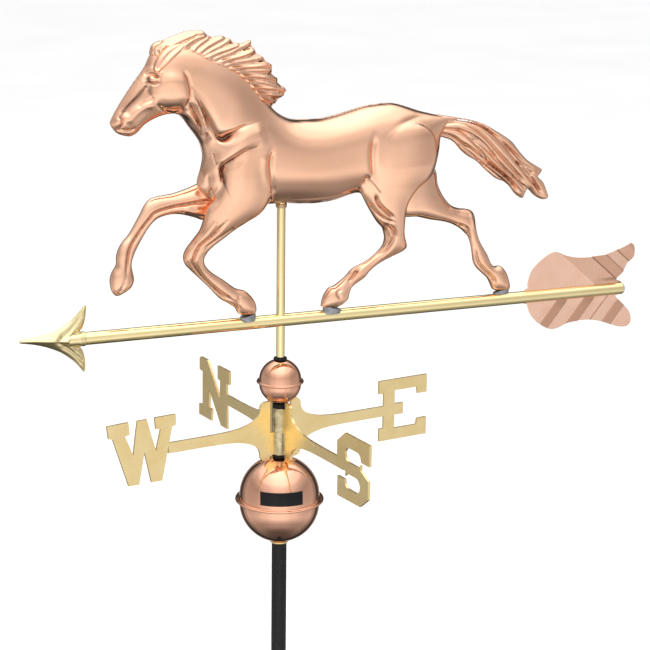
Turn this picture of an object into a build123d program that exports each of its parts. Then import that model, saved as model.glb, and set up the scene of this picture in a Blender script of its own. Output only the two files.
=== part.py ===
from build123d import *
import math
import os

# Weather vane: a running copper horse over an arrow, four compass letters, two globes, a pole.
#
# Millimetres, +Z up. The origin is on the spin axis at the foot of the pole. The arrow lies
# along X with its point towards -X, and the horse's left side faces -Y.

# ---- driving dimensions: the upright stack -------------------------------------------------
POLE_R = 9.525              # 3/4 in steel pole
POLE_TOP = 300.0
POLE_SOCKET_DEPTH = 80.0    # how far the spindle rod goes down into the pole
ROD_R = 6.35                # 1/2 in spindle rod, through globes and letters
PIVOT_R = 3.5               # thin upper end that the vane turns on
PIVOT_TOP = 755.0
BORE_CLEARANCE = 0.1        # static parts slide over the rod
RUNNING_CLEARANCE = 0.05    # the vane's bushes turn on the pivot

GLOBE_Z = 360.0             # seam of the large globe
GLOBE_R = 50.8              # 4 in globe
GLOBE_SKIRT = 4.7           # straight part of each half, between dome and seam
GLOBE_LIP_R = 56.1
SMALL_GLOBE_Z = GLOBE_Z + 154.5
SMALL_GLOBE_R = 26.5
SMALL_GLOBE_SKIRT = 2.2
SMALL_GLOBE_LIP_R = 29.6
COPPER = 0.8                # sheet thickness of globes and figure
LIP_SHEET = 0.9
LIP_FOLD = 2.5 * LIP_SHEET  # width of the folded edge
LIP_GAP = 0.05

LABEL_ANGLE = -107.5        # the blank plate faces the front
LABEL_WIDTH = 53.0
LABEL_BAND = (7.0, 23.5)    # heights over the seam
LABEL_GAP = 0.2
LABEL_THICKNESS = 0.6

COLLAR_R = 11.8
COLLAR_FOOT_R = 10.3
COLLAR_TOP = 304.9
RING_R = 9.5
LOWER_RING = (415.1, 420.0)
LOWER_BARREL = (420.0, 449.3)
UPPER_BARREL = (449.5, 480.6)
UPPER_RING = (480.6, 486.6)
ROD_SHOULDER = 542.5
TOP_WASHER_R = 8.5
TOP_WASHER_HEIGHT = 3.0
RING_EDGE = 1.2
WASHER_EDGE = 0.8

# ---- compass letters -----------------------------------------------------------------------
LETTER_Z = GLOBE_Z + 92.0
EAST_ANGLE = 8.6            # east arm's direction, from +X
PLATE = 3.2                 # thickness of arms and letters
BARREL_R = 9.75
WEB_INNER = 15.0
WEB_OUTER = 29.0
WEB_HALF_HEIGHT = 38.5
ARM_HALF_HEIGHT = 6.8
ARM_END = 156.0
SET_SCREW_R = 2.0
SCREW_GAP = 0.02
SCREW_PROUD = 0.5           # how far a set screw stands out of its barrel
HEX_SOCKET_R = 1.1
HEX_SOCKET_DEPTH = 1.6
WEB_CORNER_R = 7.5

# Letter outlines: (distance from the spin axis, height over the letters' middle)
LETTER_E = [
    (145, 41), (218, 41), (218, 17), (204, 17), (203, 26), (169, 26), (169, 8), (182, 8),
    (182, -7), (169, -7), (169, -25), (203, -25), (204, -17), (218, -17), (218, -40), (146, -40),
    (146, -23), (152.5, -23), (152.5, 24), (145, 24),
]
LETTER_W = [
    (146, 42), (174.5, 41.5), (173, 27), (166.5, 26), (173, -1), (185, 41), (197.5, 41),
    (203.5, -2), (214, 24), (208, 25.5), (209.5, 41), (238, 40), (236, 24), (230.5, 22.5),
    (210, -40), (196, -40), (188.5, 0), (179.5, -40), (165, -40), (151, 27), (146, 28.5),
]
LETTER_N = [
    (132, 40), (164, 40), (164, 22), (157, 21), (158.5, -4), (190, 37), (193, 40), (212, 40),
    (215, 37), (215, 22), (206.5, 21), (207, -25), (217, -26), (217, -41), (182, -41), (181, -25),
    (189, -25), (187, 0), (155, -40), (138, -40), (140, 21), (132, 22),
]
LETTER_S = [
    (141.5, 27), (159, 41), (215, 41), (215, 14.5), (195, 14.5), (195, 4), (213, -4),
    (213, -27), (195, -41), (143, -42), (143, -17), (161, -17), (161, -7), (141.5, 7),
]
S_COUNTER_UPPER = ((178, 15.5), 18, 9)      # middle, centre to centre, half height
S_COUNTER_LOWER = ((177, -17.5), 16, 9.5)

# ---- vane ----------------------------------------------------------------------------------
ARROW_Z = GLOBE_Z + 233.0
TUBE_R = 5.25
TUBE_WALL = 1.0
TUBE_LIFT = 0.5             # the turning tube clears the washer
TUBE_FOOT = ROD_SHOULDER + TOP_WASHER_HEIGHT + TUBE_LIFT
TUBE_TOP = ARROW_Z + 175.0
BUSH_LENGTH = 14.0
BALL_R = 3.2
BALL_PLAY = 0.3
PLUG_FOOT = PIVOT_TOP + 2 * BALL_R + BALL_PLAY
SHAFT_R = 7.95
SHAFT_WALL = 1.0
SHAFT_FRONT = -272.0
SHAFT_END = 477.0
HEAD_TIP = -330.0
HEAD_REAR = -256.0
FIN_SHEET = 0.8
FIN_SINK = 0.6              # the fins stand in slots in the shaft's wall
BELLY_Z = ARROW_Z + 146.5
CAP_LENGTH = 5.0
CAP_PLUG = 4.0              # how far the cap goes into the shaft
CAP_ROUND = 3.5
SOCKET_POINT = (-284.0, 3.0)        # where the head's conical socket starts, and its radius there
SOCKET_WALL = 1.2
FERRULE_LENGTH = 6.0
FERRULE_WALL = 1.0
BARB_CUT = (-230.0, 60.0)           # corner of the cut behind the barbs
BELLY_FERRULE_WALL = 1.6
BELLY_FERRULE_RANGE = (-4.0, 1.0)   # heights from the belly

# Outlines in (x, height over the arrow's axis)
FIN_FRONT = 341.0
FIN_REAR = 471.0
FIN_UPPER = [
    (341, 20), (345, 33), (353, 42.5), (364, 51), (375, 56.5), (383, 56), (396, 50.5), (412, 47),
    (432, 46.5), (455, 48), (472, 53), (485, 58.5), (490, 60.5), (494.5, 57), (496, 50),
    (495, 41), (487, 33), (481, 23), (FIN_REAR, 13),
]
FIN_LOWER = [
    (342, -14), (346, -24), (355, -34), (366, -42), (377, -46.5), (388, -46), (402, -40.5),
    (418, -38.5), (440, -40), (460, -46), (475, -51.5), (487, -53.5), (494, -51), (496.5, -44),
    (493, -33), (483, -22), (FIN_REAR, -10),
]
HEAD_SECTIONS = [          # (x, middle, half height, half thickness)
    (HEAD_TIP, 2.5, 1.2, 1.2),
    (-322, 2.5, 4.0, 3.6),
    (-305, 2.0, 6.5, 5.2),
    (-288, 1.0, 12.0, 6.2),
    (-275, 0.5, 18.5, 6.6),
    (-262, 0.0, 28.5, 6.2),
    (-249, 0.0, 41.5, 4.0),
]
BARB_NOTCH = [(-249.5, 40.5), (-249, 28), (-252, 17), (HEAD_REAR, 9.3)]

# ---- horse ---------------------------------------------------------------------------------
MANE_HALF_THICKNESS = 7.0
HOOF_Z = ARROW_Z + 12.0

# Sections of the figure: (x, height over the arrow, half length of the section, half depth in Y)
TRUNK = [
    (-108, 197, 17, 15),
    (-95, 197, 38, 29),
    (-60, 199, 49, 35),
    (-15, 203, 54, 37),
    (40, 198, 51, 37),
    (95, 205, 50, 35),
    (140, 210, 50, 34),
    (178, 210, 41, 30),
    (198, 211, 29, 20),
    (205, 212, 14, 9),
]
NECK = [
    (-35, 212, 50, 31),
    (-58, 240, 47, 28),
    (-78, 263, 42, 24),
    (-98, 285, 37, 20),
    (-122, 303, 33, 18),
    (-134, 310, 24, 14),
]
HEAD = [
    (-112, 309, 24, 13),
    (-126, 306, 33, 18),
    (-150, 300, 34, 19),
    (-176, 284, 27, 16),
    (-196, 264, 20, 12),
    (-208, 253, 12, 9),
    (-213, 250, 5, 4),
]
TAIL = [
    (190, 228, 14, 8),
    (228, 227, 14, 12),
    (256, 213, 22, 13),
    (284, 194, 24, 13),
    (313, 173, 21, 11),
    (340, 151, 14, 8),
    (360, 135, 5, 3),
]
LEG_SECTIONS = {
    "foreleg_left": [
        (-56, 178, 28, 13),
        (-74, 146, 25, 12),
        (-92, 123, 18, 11),
        (-109, 104, 14, 10),
        (-118, 92, 12, 9),
        (-111, 77, 10, 8),
        (-87, 54, 8.5, 7),
        (-68, 39, 10.5, 8),
        (-55, 31, 9, 8),
        (-48, 25, 11, 9),
        (-44, 12, 11, 9),
    ],
    "foreleg_right": [
        (-70, 160, 25, 12),
        (-98, 153, 19, 12),
        (-123, 152, 13, 11),
        (-146, 151, 12.5, 10),
        (-161, 146, 13, 10),
        (-175, 127, 10, 8),
        (-187, 108, 8.5, 7),
        (-194, 93, 10.5, 8),
        (-197, 82, 10, 8),
        (-201, 70, 13, 9),
        (-204, 55, 11, 8),
    ],
    "hindleg_left": [
        (146, 198, 40, 12),
        (138, 163, 38, 13),
        (136, 138, 26, 12),
        (141, 118, 18, 11),
        (144, 101, 13, 10),
        (144, 87, 14, 9),
        (129, 72, 8.5, 7),
        (107, 60, 7.5, 7),
        (93, 50, 9.5, 8),
        (79, 38, 8.5, 8),
        (73, 29, 12, 9),
        (67, 12, 13, 9),
    ],
    "hindleg_right": [
        (170, 175, 34, 13),
        (187, 147, 27, 13),
        (209, 127, 16, 11),
        (231, 115, 11, 10),
        (252, 105, 13, 10),
        (262, 87, 8, 7),
        (268, 69, 8, 7),
        (276, 53, 10, 8),
        (286, 40, 9, 8),
        (298, 31, 12, 9),
        (304, 12, 12, 9),
    ],
}
# Where each leg's centre plane lies: Y at the height of its top section and at its lowest one
LEG_SPREAD = {
    "foreleg_left": (-24, -4),
    "foreleg_right": (24, 10),
    "hindleg_left": (-24, -4),
    "hindleg_right": (24, 4),
}
MANE = [
    (-163, 336), (-163, 349), (-152, 353), (-124, 361), (-98, 361), (-86, 355), (-68, 353),
    (-40, 350), (-33, 335), (-12, 315), (4, 289), (2, 279), (-13, 262), (-34, 250), (-70, 280),
    (-120, 320),
]
EAR = [
    (-152, 326, 8, 4),
    (-139, 338, 8, 4),
    (-125, 349, 2, 1.5),
]
EAR_Y = 11.0

# Solder pads join the three standing hooves to the arrow's shaft
PAD_HALF_WIDTH = 6.5
PAD_SINK = 4.0              # the solder runs this far down the shaft's sides
PAD_TOP = HOOF_Z + 1.5
HOOF_PADS = {               # leg: (x, y, half length)
    "foreleg_left": (-44, -3, 10),
    "hindleg_left": (67, -3, 12),
    "hindleg_right": (304, 3, 11),
}


def rod_bore(radius, low, high):
    """Cut a round hole along the spin axis out of the part in hand."""
    with BuildSketch(Plane.XY.offset(low)) as hole:
        Circle(radius)
    extrude(hole.sketch, amount=high - low, mode=Mode.SUBTRACT)


def turned_ring(outer_r, inner_r, low, high, edge=0.0):
    """A flat-ended ring about the spin axis, with its outer edges rounded."""
    with BuildSketch(Plane.XY.offset(low)) as ring:
        Circle(outer_r)
    extrude(ring.sketch, amount=high - low)
    if edge:
        fillet(edges().filter_by(GeomType.CIRCLE), edge)
    rod_bore(inner_r, low, high)


def globe_half(seam_z, radius, skirt, lip_r, upward):
    """Half of a spun globe: a thin dome on a short straight skirt, and its share of the folded seam.

    The profile is drawn with its second direction pointing away from the seam. The lower
    half's lip folds up and over the upper half's flat one.
    """
    profile_plane = Plane(origin=(0, 0, seam_z), x_dir=(1, 0, 0), z_dir=(0, -1 if upward else 1, 0))
    inner_radius = radius - COPPER
    hole_r = ROD_R + BORE_CLEARANCE
    outer_arc = math.degrees(math.acos(hole_r / radius))
    inner_arc = math.degrees(math.acos(hole_r / inner_radius))
    with BuildSketch(profile_plane) as profile:
        with BuildLine():
            outer = CenterArc((0, skirt), radius, 0, outer_arc)
            inner = CenterArc((0, skirt), inner_radius, 0, inner_arc)
            Line(outer @ 1, inner @ 1)
            if upward:
                flange_r = lip_r - LIP_SHEET - LIP_GAP
                lip = [(flange_r, 0), (flange_r, LIP_SHEET)]
            else:
                lip = [
                    (lip_r - LIP_SHEET, 0),
                    (lip_r - LIP_SHEET, -LIP_SHEET),
                    (lip_r - LIP_FOLD, -LIP_SHEET),
                    (lip_r - LIP_FOLD, -2 * LIP_SHEET),
                    (lip_r, -2 * LIP_SHEET),
                    (lip_r, LIP_SHEET),
                ]
            Polyline(inner @ 0, (inner_radius, 0), *lip, (radius, LIP_SHEET), outer @ 0)
        make_face()
    revolve(profile.sketch, axis=Axis.Z)


os.makedirs("parts", exist_ok=True)

# ---- pole and spindle rod ------------------------------------------------------------------
with BuildPart() as steel_pole:
    with BuildSketch(Plane.XY) as pole_section:
        Circle(POLE_R)
    extrude(amount=POLE_TOP)
    rod_bore(ROD_R, POLE_TOP - POLE_SOCKET_DEPTH, POLE_TOP)
steel_pole.part.label = "steel_pole"
export_step(steel_pole.part, "parts/steel_pole.step")

with BuildPart() as spindle_rod:
    with BuildSketch(Plane.XY.offset(POLE_TOP - POLE_SOCKET_DEPTH)) as rod_section:
        Circle(ROD_R)
    extrude(amount=ROD_SHOULDER - POLE_TOP + POLE_SOCKET_DEPTH)
    with BuildSketch(Plane.XY.offset(ROD_SHOULDER)) as pivot_section:
        Circle(PIVOT_R)
    extrude(amount=PIVOT_TOP - ROD_SHOULDER)
spindle_rod.part.label = "spindle_rod"
export_step(spindle_rod.part, "parts/spindle_rod.step")

with BuildPart() as pole_collar:
    with BuildSketch(Plane.XY.offset(POLE_TOP)) as collar_foot:
        Circle(COLLAR_FOOT_R)
    with BuildSketch(Plane.XY.offset(COLLAR_TOP)) as collar_mouth:
        Circle(COLLAR_R)
    loft()
    rod_bore(ROD_R + BORE_CLEARANCE, POLE_TOP, COLLAR_TOP)
pole_collar.part.label = "pole_collar"
export_step(pole_collar.part, "parts/pole_collar.step")

# ---- globes --------------------------------------------------------------------------------
with BuildPart() as large_globe_lower:
    globe_half(GLOBE_Z, GLOBE_R, GLOBE_SKIRT, GLOBE_LIP_R, upward=False)
large_globe_lower.part.label = "large_globe_lower"
export_step(large_globe_lower.part, "parts/large_globe_lower.step")

with BuildPart() as large_globe_upper:
    globe_half(GLOBE_Z, GLOBE_R, GLOBE_SKIRT, GLOBE_LIP_R, upward=True)
large_globe_upper.part.label = "large_globe_upper"
export_step(large_globe_upper.part, "parts/large_globe_upper.step")

with BuildPart() as small_globe_lower:
    globe_half(SMALL_GLOBE_Z, SMALL_GLOBE_R, SMALL_GLOBE_SKIRT, SMALL_GLOBE_LIP_R, upward=False)
small_globe_lower.part.label = "small_globe_lower"
export_step(small_globe_lower.part, "parts/small_globe_lower.step")

with BuildPart() as small_globe_upper:
    globe_half(SMALL_GLOBE_Z, SMALL_GLOBE_R, SMALL_GLOBE_SKIRT, SMALL_GLOBE_LIP_R, upward=True)
small_globe_upper.part.label = "small_globe_upper"
export_step(small_globe_upper.part, "parts/small_globe_upper.step")

with BuildPart() as globe_label:
    with Locations((0, 0, GLOBE_Z + GLOBE_SKIRT)):
        Sphere(GLOBE_R + LABEL_GAP + LABEL_THICKNESS)
        Sphere(GLOBE_R + LABEL_GAP, mode=Mode.SUBTRACT)
    with BuildSketch(Plane.XY.offset(GLOBE_Z + LABEL_BAND[0])) as label_outline:
        with Locations(Location((0, 0, 0), LABEL_ANGLE)):
            Rectangle(2 * GLOBE_R, LABEL_WIDTH, align=(Align.MIN, Align.CENTER))
    extrude(amount=LABEL_BAND[1] - LABEL_BAND[0], mode=Mode.INTERSECT)
globe_label.part.label = "globe_label"
export_step(globe_label.part, "parts/globe_label.step")

# ---- rubber rings --------------------------------------------------------------------------
with BuildPart() as lower_rubber_ring:
    turned_ring(RING_R, ROD_R + BORE_CLEARANCE, *LOWER_RING, edge=RING_EDGE)
lower_rubber_ring.part.label = "lower_rubber_ring"
export_step(lower_rubber_ring.part, "parts/lower_rubber_ring.step")

with BuildPart() as upper_rubber_ring:
    turned_ring(RING_R, ROD_R + BORE_CLEARANCE, *UPPER_RING, edge=RING_EDGE)
upper_rubber_ring.part.label = "upper_rubber_ring"
export_step(upper_rubber_ring.part, "parts/upper_rubber_ring.step")

with BuildPart() as top_rubber_washer:
    washer_top = ROD_SHOULDER + TOP_WASHER_HEIGHT
    turned_ring(TOP_WASHER_R, PIVOT_R + BORE_CLEARANCE, ROD_SHOULDER, washer_top, edge=WASHER_EDGE)
top_rubber_washer.part.label = "top_rubber_washer"
export_step(top_rubber_washer.part, "parts/top_rubber_washer.step")


# ---- compass letters -----------------------------------------------------------------------
def compass_plane(direction):
    """Upright plane through the spin axis, its x direction along a pair of arms."""
    angle = math.radians(direction)
    return Plane(
        origin=(0, 0, LETTER_Z),
        x_dir=(math.cos(angle), math.sin(angle), 0),
        z_dir=(math.sin(angle), -math.cos(angle), 0),
    )


def arm_outline(side):
    """One arm: a bar that widens in a hollow curve into the full height of the hub's web."""
    with BuildSketch(Plane.XY, mode=Mode.PRIVATE) as half:
        with BuildLine():
            Line((WEB_INNER, 0), (ARM_END, 0))
            Line((ARM_END, 0), (ARM_END, ARM_HALF_HEIGHT))
            flare = Spline(
                (ARM_END, ARM_HALF_HEIGHT), (90, 7), (60, 9), (42, 14), (32, 21), (WEB_OUTER, 31),
                tangents=((-1, 0), (0, 1)),
            )
            corner = JernArc(flare @ 1, flare % 1, WEB_CORNER_R, 90)
            Line(corner @ 1, (WEB_INNER, WEB_HALF_HEIGHT))
            Line((WEB_INNER, WEB_HALF_HEIGHT), (WEB_INNER, 0))
        make_face()
        mirror(about=Plane.XZ)
    outline = half.sketch
    return outline if side > 0 else mirror(outline, about=Plane.YZ, mode=Mode.PRIVATE)


def letter_outline(points, side):
    """A letter's flat outline, on the positive or the negative side of the spin axis."""
    with BuildSketch(Plane.XY, mode=Mode.PRIVATE) as letter:
        with BuildLine():
            Polyline([(side * x, z) for x, z in points], close=True)
        make_face()
    return letter.sketch


def directional(direction, outlines, counters, barrel):
    """One casting: two letters, two arms with webs, and the barrel that the rod goes through."""
    plane = compass_plane(direction)
    with BuildSketch(plane) as flat:
        for side in (1, -1):
            add(arm_outline(side))
            add(letter_outline(outlines[side], side))
        for middle, spacing, half_height in counters:
            with Locations((-middle[0], middle[1])):
                SlotCenterToCenter(spacing, 2 * half_height, mode=Mode.SUBTRACT)
        low = barrel[0] - LETTER_Z
        high = barrel[1] - LETTER_Z
        with Locations((0, (low + high) / 2)):
            Rectangle(2 * WEB_INNER + 2, high - low)
    extrude(flat.sketch, amount=PLATE / 2, both=True)
    with BuildSketch(Plane.XY.offset(barrel[0])) as sleeve:
        Circle(BARREL_R)
    extrude(sleeve.sketch, amount=barrel[1] - barrel[0])
    rod_bore(ROD_R + BORE_CLEARANCE, barrel[0], barrel[1])
    screw_plane = set_screw_plane(barrel)
    with BuildSketch(screw_plane) as screw_hole:
        Circle(SET_SCREW_R)
    extrude(screw_hole.sketch, amount=BARREL_R, mode=Mode.SUBTRACT)


def set_screw_plane(barrel):
    """Plane at the rod's middle, facing out between two arms, at a barrel's mid height."""
    angle = math.radians(EAST_ANGLE + 45)
    return Plane(
        origin=(0, 0, sum(barrel) / 2),
        x_dir=(0, 0, 1),
        z_dir=(math.cos(angle), math.sin(angle), 0),
    )


with BuildPart() as directional_east_west:
    directional(EAST_ANGLE, {1: LETTER_E, -1: LETTER_W}, [], LOWER_BARREL)
directional_east_west.part.label = "directional_east_west"
export_step(directional_east_west.part, "parts/directional_east_west.step")

with BuildPart() as directional_north_south:
    directional(
        EAST_ANGLE + 90, {1: LETTER_N, -1: LETTER_S}, [S_COUNTER_UPPER, S_COUNTER_LOWER], UPPER_BARREL
    )
directional_north_south.part.label = "directional_north_south"
export_step(directional_north_south.part, "parts/directional_north_south.step")

with BuildPart() as letter_set_screws:
    for barrel in (LOWER_BARREL, UPPER_BARREL):
        screw_plane = set_screw_plane(barrel)
        with BuildSketch(screw_plane.offset(ROD_R)) as screw_body:
            Circle(SET_SCREW_R - SCREW_GAP)
        extrude(amount=BARREL_R - ROD_R + SCREW_PROUD)
        with BuildSketch(screw_plane.offset(BARREL_R + SCREW_PROUD)) as hex_socket:
            RegularPolygon(HEX_SOCKET_R, 6)
        extrude(amount=-HEX_SOCKET_DEPTH, mode=Mode.SUBTRACT)
letter_set_screws.part.label = "letter_set_screws"
export_step(letter_set_screws.part, "parts/letter_set_screws.step")

# ---- the vane's bearing --------------------------------------------------------------------
with BuildPart() as spindle_tube:
    turned_ring(TUBE_R, TUBE_R - TUBE_WALL, TUBE_FOOT, TUBE_TOP)
spindle_tube.part.label = "spindle_tube"
export_step(spindle_tube.part, "parts/spindle_tube.step")

with BuildPart() as guide_bushes:
    for bush_foot in (TUBE_FOOT, PIVOT_TOP - BUSH_LENGTH):
        with BuildSketch(Plane.XY.offset(bush_foot)) as bush:
            Circle(TUBE_R - TUBE_WALL)
            Circle(PIVOT_R + RUNNING_CLEARANCE, mode=Mode.SUBTRACT)
        extrude(amount=BUSH_LENGTH)
guide_bushes.part.label = "guide_bushes"
export_step(guide_bushes.part, "parts/guide_bushes.step")

with BuildPart() as bearing_ball:
    with Locations((0, 0, PIVOT_TOP + BALL_R)):
        Sphere(BALL_R)
bearing_ball.part.label = "bearing_ball"
export_step(bearing_ball.part, "parts/bearing_ball.step")

with BuildPart() as bearing_plug:
    with BuildSketch(Plane.XY.offset(PLUG_FOOT)) as plug_section:
        Circle(TUBE_R - TUBE_WALL)
    extrude(amount=TUBE_TOP - PLUG_FOOT)
bearing_plug.part.label = "bearing_plug"
export_step(bearing_plug.part, "parts/bearing_plug.step")

# ---- arrow ---------------------------------------------------------------------------------
arrow_plane = Plane(origin=(0, 0, ARROW_Z), x_dir=(1, 0, 0), z_dir=(0, -1, 0))


def along_arrow(x):
    """Plane across the arrow at a given x, facing its tail."""
    return Plane(origin=(x, 0, ARROW_Z), x_dir=(0, 1, 0), z_dir=(1, 0, 0))


with BuildPart() as arrow_shaft:
    with BuildSketch(along_arrow(SHAFT_FRONT)) as shaft_section:
        Circle(SHAFT_R)
        Circle(SHAFT_R - SHAFT_WALL, mode=Mode.SUBTRACT)
    extrude(amount=SHAFT_END - SHAFT_FRONT)
    rod_bore(TUBE_R, ARROW_Z - 2 * SHAFT_R, ARROW_Z + 2 * SHAFT_R)
    with BuildSketch(Plane.XY.offset(ARROW_Z)) as fin_slots:
        with Locations(((FIN_FRONT + FIN_REAR) / 2, 0)):
            Rectangle(FIN_REAR - FIN_FRONT, FIN_SHEET)
    extrude(amount=2 * SHAFT_R, both=True, mode=Mode.SUBTRACT)
arrow_shaft.part.label = "arrow_shaft"
export_step(arrow_shaft.part, "parts/arrow_shaft.step")

with BuildPart() as shaft_end_cap:
    with BuildSketch(along_arrow(SHAFT_END - CAP_PLUG)) as plug_end:
        Circle(SHAFT_R - SHAFT_WALL)
    extrude(amount=CAP_PLUG)
    with BuildSketch(along_arrow(SHAFT_END)) as cap_end:
        Circle(SHAFT_R)
    extrude(amount=CAP_LENGTH)
    fillet(edges().group_by(Axis.X)[-1], CAP_ROUND)
shaft_end_cap.part.label = "shaft_end_cap"
export_step(shaft_end_cap.part, "parts/shaft_end_cap.step")


def fin(outline, seat_z):
    """A flat tail feather sheet standing in the shaft's slot."""
    with BuildSketch(arrow_plane) as sheet:
        with BuildLine():
            foot = Line((FIN_REAR, seat_z), (FIN_FRONT, seat_z))
            edge = Spline(outline)
            Line(foot @ 1, edge @ 0)
            Line(edge @ 1, foot @ 0)
        make_face()
    extrude(sheet.sketch, amount=FIN_SHEET / 2, both=True)


with BuildPart() as tail_fin_upper:
    fin(FIN_UPPER, SHAFT_R - FIN_SINK)
tail_fin_upper.part.label = "tail_fin_upper"
export_step(tail_fin_upper.part, "parts/tail_fin_upper.step")

with BuildPart() as tail_fin_lower:
    fin(FIN_LOWER, -SHAFT_R + FIN_SINK)
tail_fin_lower.part.label = "tail_fin_lower"
export_step(tail_fin_lower.part, "parts/tail_fin_lower.step")

with BuildPart() as arrow_head:
    for x, middle, half_height, half_thickness in HEAD_SECTIONS:
        with BuildSketch(along_arrow(x).move(Location((0, 0, middle)))) as blade:
            with BuildLine():
                Polyline(
                    (half_thickness, 0), (0, half_height), (-half_thickness, 0), (0, -half_height),
                    close=True,
                )
            make_face()
    loft(ruled=True)
    with BuildSketch(arrow_plane) as notch:
        with BuildLine():
            rear_edge = Polyline(*BARB_NOTCH, *[(x, -z) for x, z in reversed(BARB_NOTCH)])
            cut_x, cut_z = BARB_CUT
            Polyline(rear_edge @ 1, (cut_x, -cut_z), (cut_x, cut_z), rear_edge @ 0)
        make_face()
    extrude(amount=2 * SHAFT_R, both=True, mode=Mode.SUBTRACT)
    with BuildSketch(along_arrow(SOCKET_POINT[0])) as socket_point:
        Circle(SOCKET_POINT[1])
    with BuildSketch(along_arrow(HEAD_REAR)) as socket_mouth:
        Circle(SHAFT_R + SOCKET_WALL)
    loft()
    with BuildSketch(along_arrow(HEAD_REAR)) as socket_bore:
        Circle(SHAFT_R)
    extrude(amount=SHAFT_FRONT - HEAD_REAR, mode=Mode.SUBTRACT)
arrow_head.part.label = "arrow_head"
export_step(arrow_head.part, "parts/arrow_head.step")

with BuildPart() as arrow_ferrule:
    with BuildSketch(along_arrow(HEAD_REAR)) as band:
        Circle(SHAFT_R + FERRULE_WALL)
    extrude(amount=FERRULE_LENGTH)
    with BuildSketch(along_arrow(HEAD_REAR)) as band_bore:
        Circle(SHAFT_R)
    extrude(amount=FERRULE_LENGTH, mode=Mode.SUBTRACT)
arrow_ferrule.part.label = "arrow_ferrule"
export_step(arrow_ferrule.part, "parts/arrow_ferrule.step")

with BuildPart() as belly_ferrule:
    foot, top = (BELLY_Z + height for height in BELLY_FERRULE_RANGE)
    turned_ring(TUBE_R + BELLY_FERRULE_WALL, TUBE_R, foot, top)
belly_ferrule.part.label = "belly_ferrule"
export_step(belly_ferrule.part, "parts/belly_ferrule.step")


# ---- horse ---------------------------------------------------------------------------------
def spine_planes(sections, y_at):
    """A plane across the figure at each section, square to the line through their middles."""
    centres = [Vector(x, y_at(z), ARROW_Z + z) for x, z, _, _ in sections]
    planes = []
    for i, centre in enumerate(centres):
        ahead = centres[min(i + 1, len(centres) - 1)]
        behind = centres[max(i - 1, 0)]
        along = (ahead - behind).normalized()
        across = along.cross(Vector(0, 1, 0)).normalized()
        planes.append(Plane(origin=centre, x_dir=across, z_dir=along))
    return planes


def figure_volume(sections, inset=0.0, y_at=lambda z: 0.0):
    """The closed volume through a row of oval sections, set in all round by a sheet's thickness."""
    planes = spine_planes(sections, y_at)
    planes[0] = planes[0].offset(inset)
    planes[-1] = planes[-1].offset(-inset)
    ovals = []
    for plane, (_, _, half_length, half_depth) in zip(planes, sections):
        with BuildSketch(plane) as oval:
            Ellipse(half_length - inset, half_depth - inset)
        ovals.append(oval.sketch)
    return loft(ovals, ruled=True, mode=Mode.PRIVATE)


def split_in_halves(shell, seam, names):
    """Write a hollow piece as the two stamped halves that meet at its seam plane."""
    for name, keep in zip(names, (Keep.TOP, Keep.BOTTOM)):
        with BuildPart() as half:
            add(shell)
            split(bisect_by=seam, keep=keep)
        half.part.label = name
        export_step(half.part, f"parts/{name}.step")


with BuildPart() as body_outside:
    for row in (TRUNK, NECK, HEAD):
        add(figure_volume(row))

with BuildPart() as body_shell:
    add(body_outside.part)
    for row in (TRUNK, NECK, HEAD):
        add(figure_volume(row, COPPER), mode=Mode.SUBTRACT)
    rod_bore(TUBE_R, ARROW_Z, TUBE_TOP)
split_in_halves(body_shell.part, Plane.XZ, ("horse_body_left", "horse_body_right"))

with BuildPart() as tail_shell:
    add(figure_volume(TAIL))
    add(figure_volume(TAIL, COPPER), mode=Mode.SUBTRACT)
    add(body_outside.part, mode=Mode.SUBTRACT)
split_in_halves(tail_shell.part, Plane.XZ, ("tail_left", "tail_right"))

with BuildPart() as mane_locks:
    with BuildSketch(arrow_plane) as locks:
        with BuildLine():
            Polyline(MANE, close=True)
        make_face()
    extrude(amount=MANE_HALF_THICKNESS, both=True)
    add(body_outside.part, mode=Mode.SUBTRACT)
split_in_halves(mane_locks.part, Plane.XZ, ("mane_left", "mane_right"))

for side_name, ear_y in (("left", -EAR_Y), ("right", EAR_Y)):
    with BuildPart() as ear:
        add(figure_volume(EAR, y_at=lambda z: ear_y))
        add(body_outside.part, mode=Mode.SUBTRACT)
        add(mane_locks.part, mode=Mode.SUBTRACT)
    ear.part.label = f"ear_{side_name}"
    export_step(ear.part, f"parts/ear_{side_name}.step")


def leg_slope(name):
    """How far the leg's centre plane leans in Y for each millimetre of height."""
    top_z, foot_z = LEG_SECTIONS[name][0][1], LEG_SECTIONS[name][-1][1]
    top_y, foot_y = LEG_SPREAD[name]
    return (top_y - foot_y) / (top_z - foot_z)


leg_volumes = {}
for leg_name, leg_sections in LEG_SECTIONS.items():
    slope = leg_slope(leg_name)
    base_y = LEG_SPREAD[leg_name][1] - slope * leg_sections[-1][1]

    def centre_y(z):
        """Y of this leg's centre plane at a height over the arrow."""
        return base_y + slope * z

    leg_seam = Plane(origin=(0, base_y, ARROW_Z), x_dir=(1, 0, 0), z_dir=(0, -1, slope))
    leg_volumes[leg_name] = figure_volume(leg_sections, 0.0, centre_y)
    with BuildPart() as leg_shell:
        add(leg_volumes[leg_name])
        add(figure_volume(leg_sections, COPPER, centre_y), mode=Mode.SUBTRACT)
        add(body_outside.part, mode=Mode.SUBTRACT)
    halves = (f"{leg_name}_left_shell", f"{leg_name}_right_shell")
    split_in_halves(leg_shell.part, leg_seam, halves)

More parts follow.
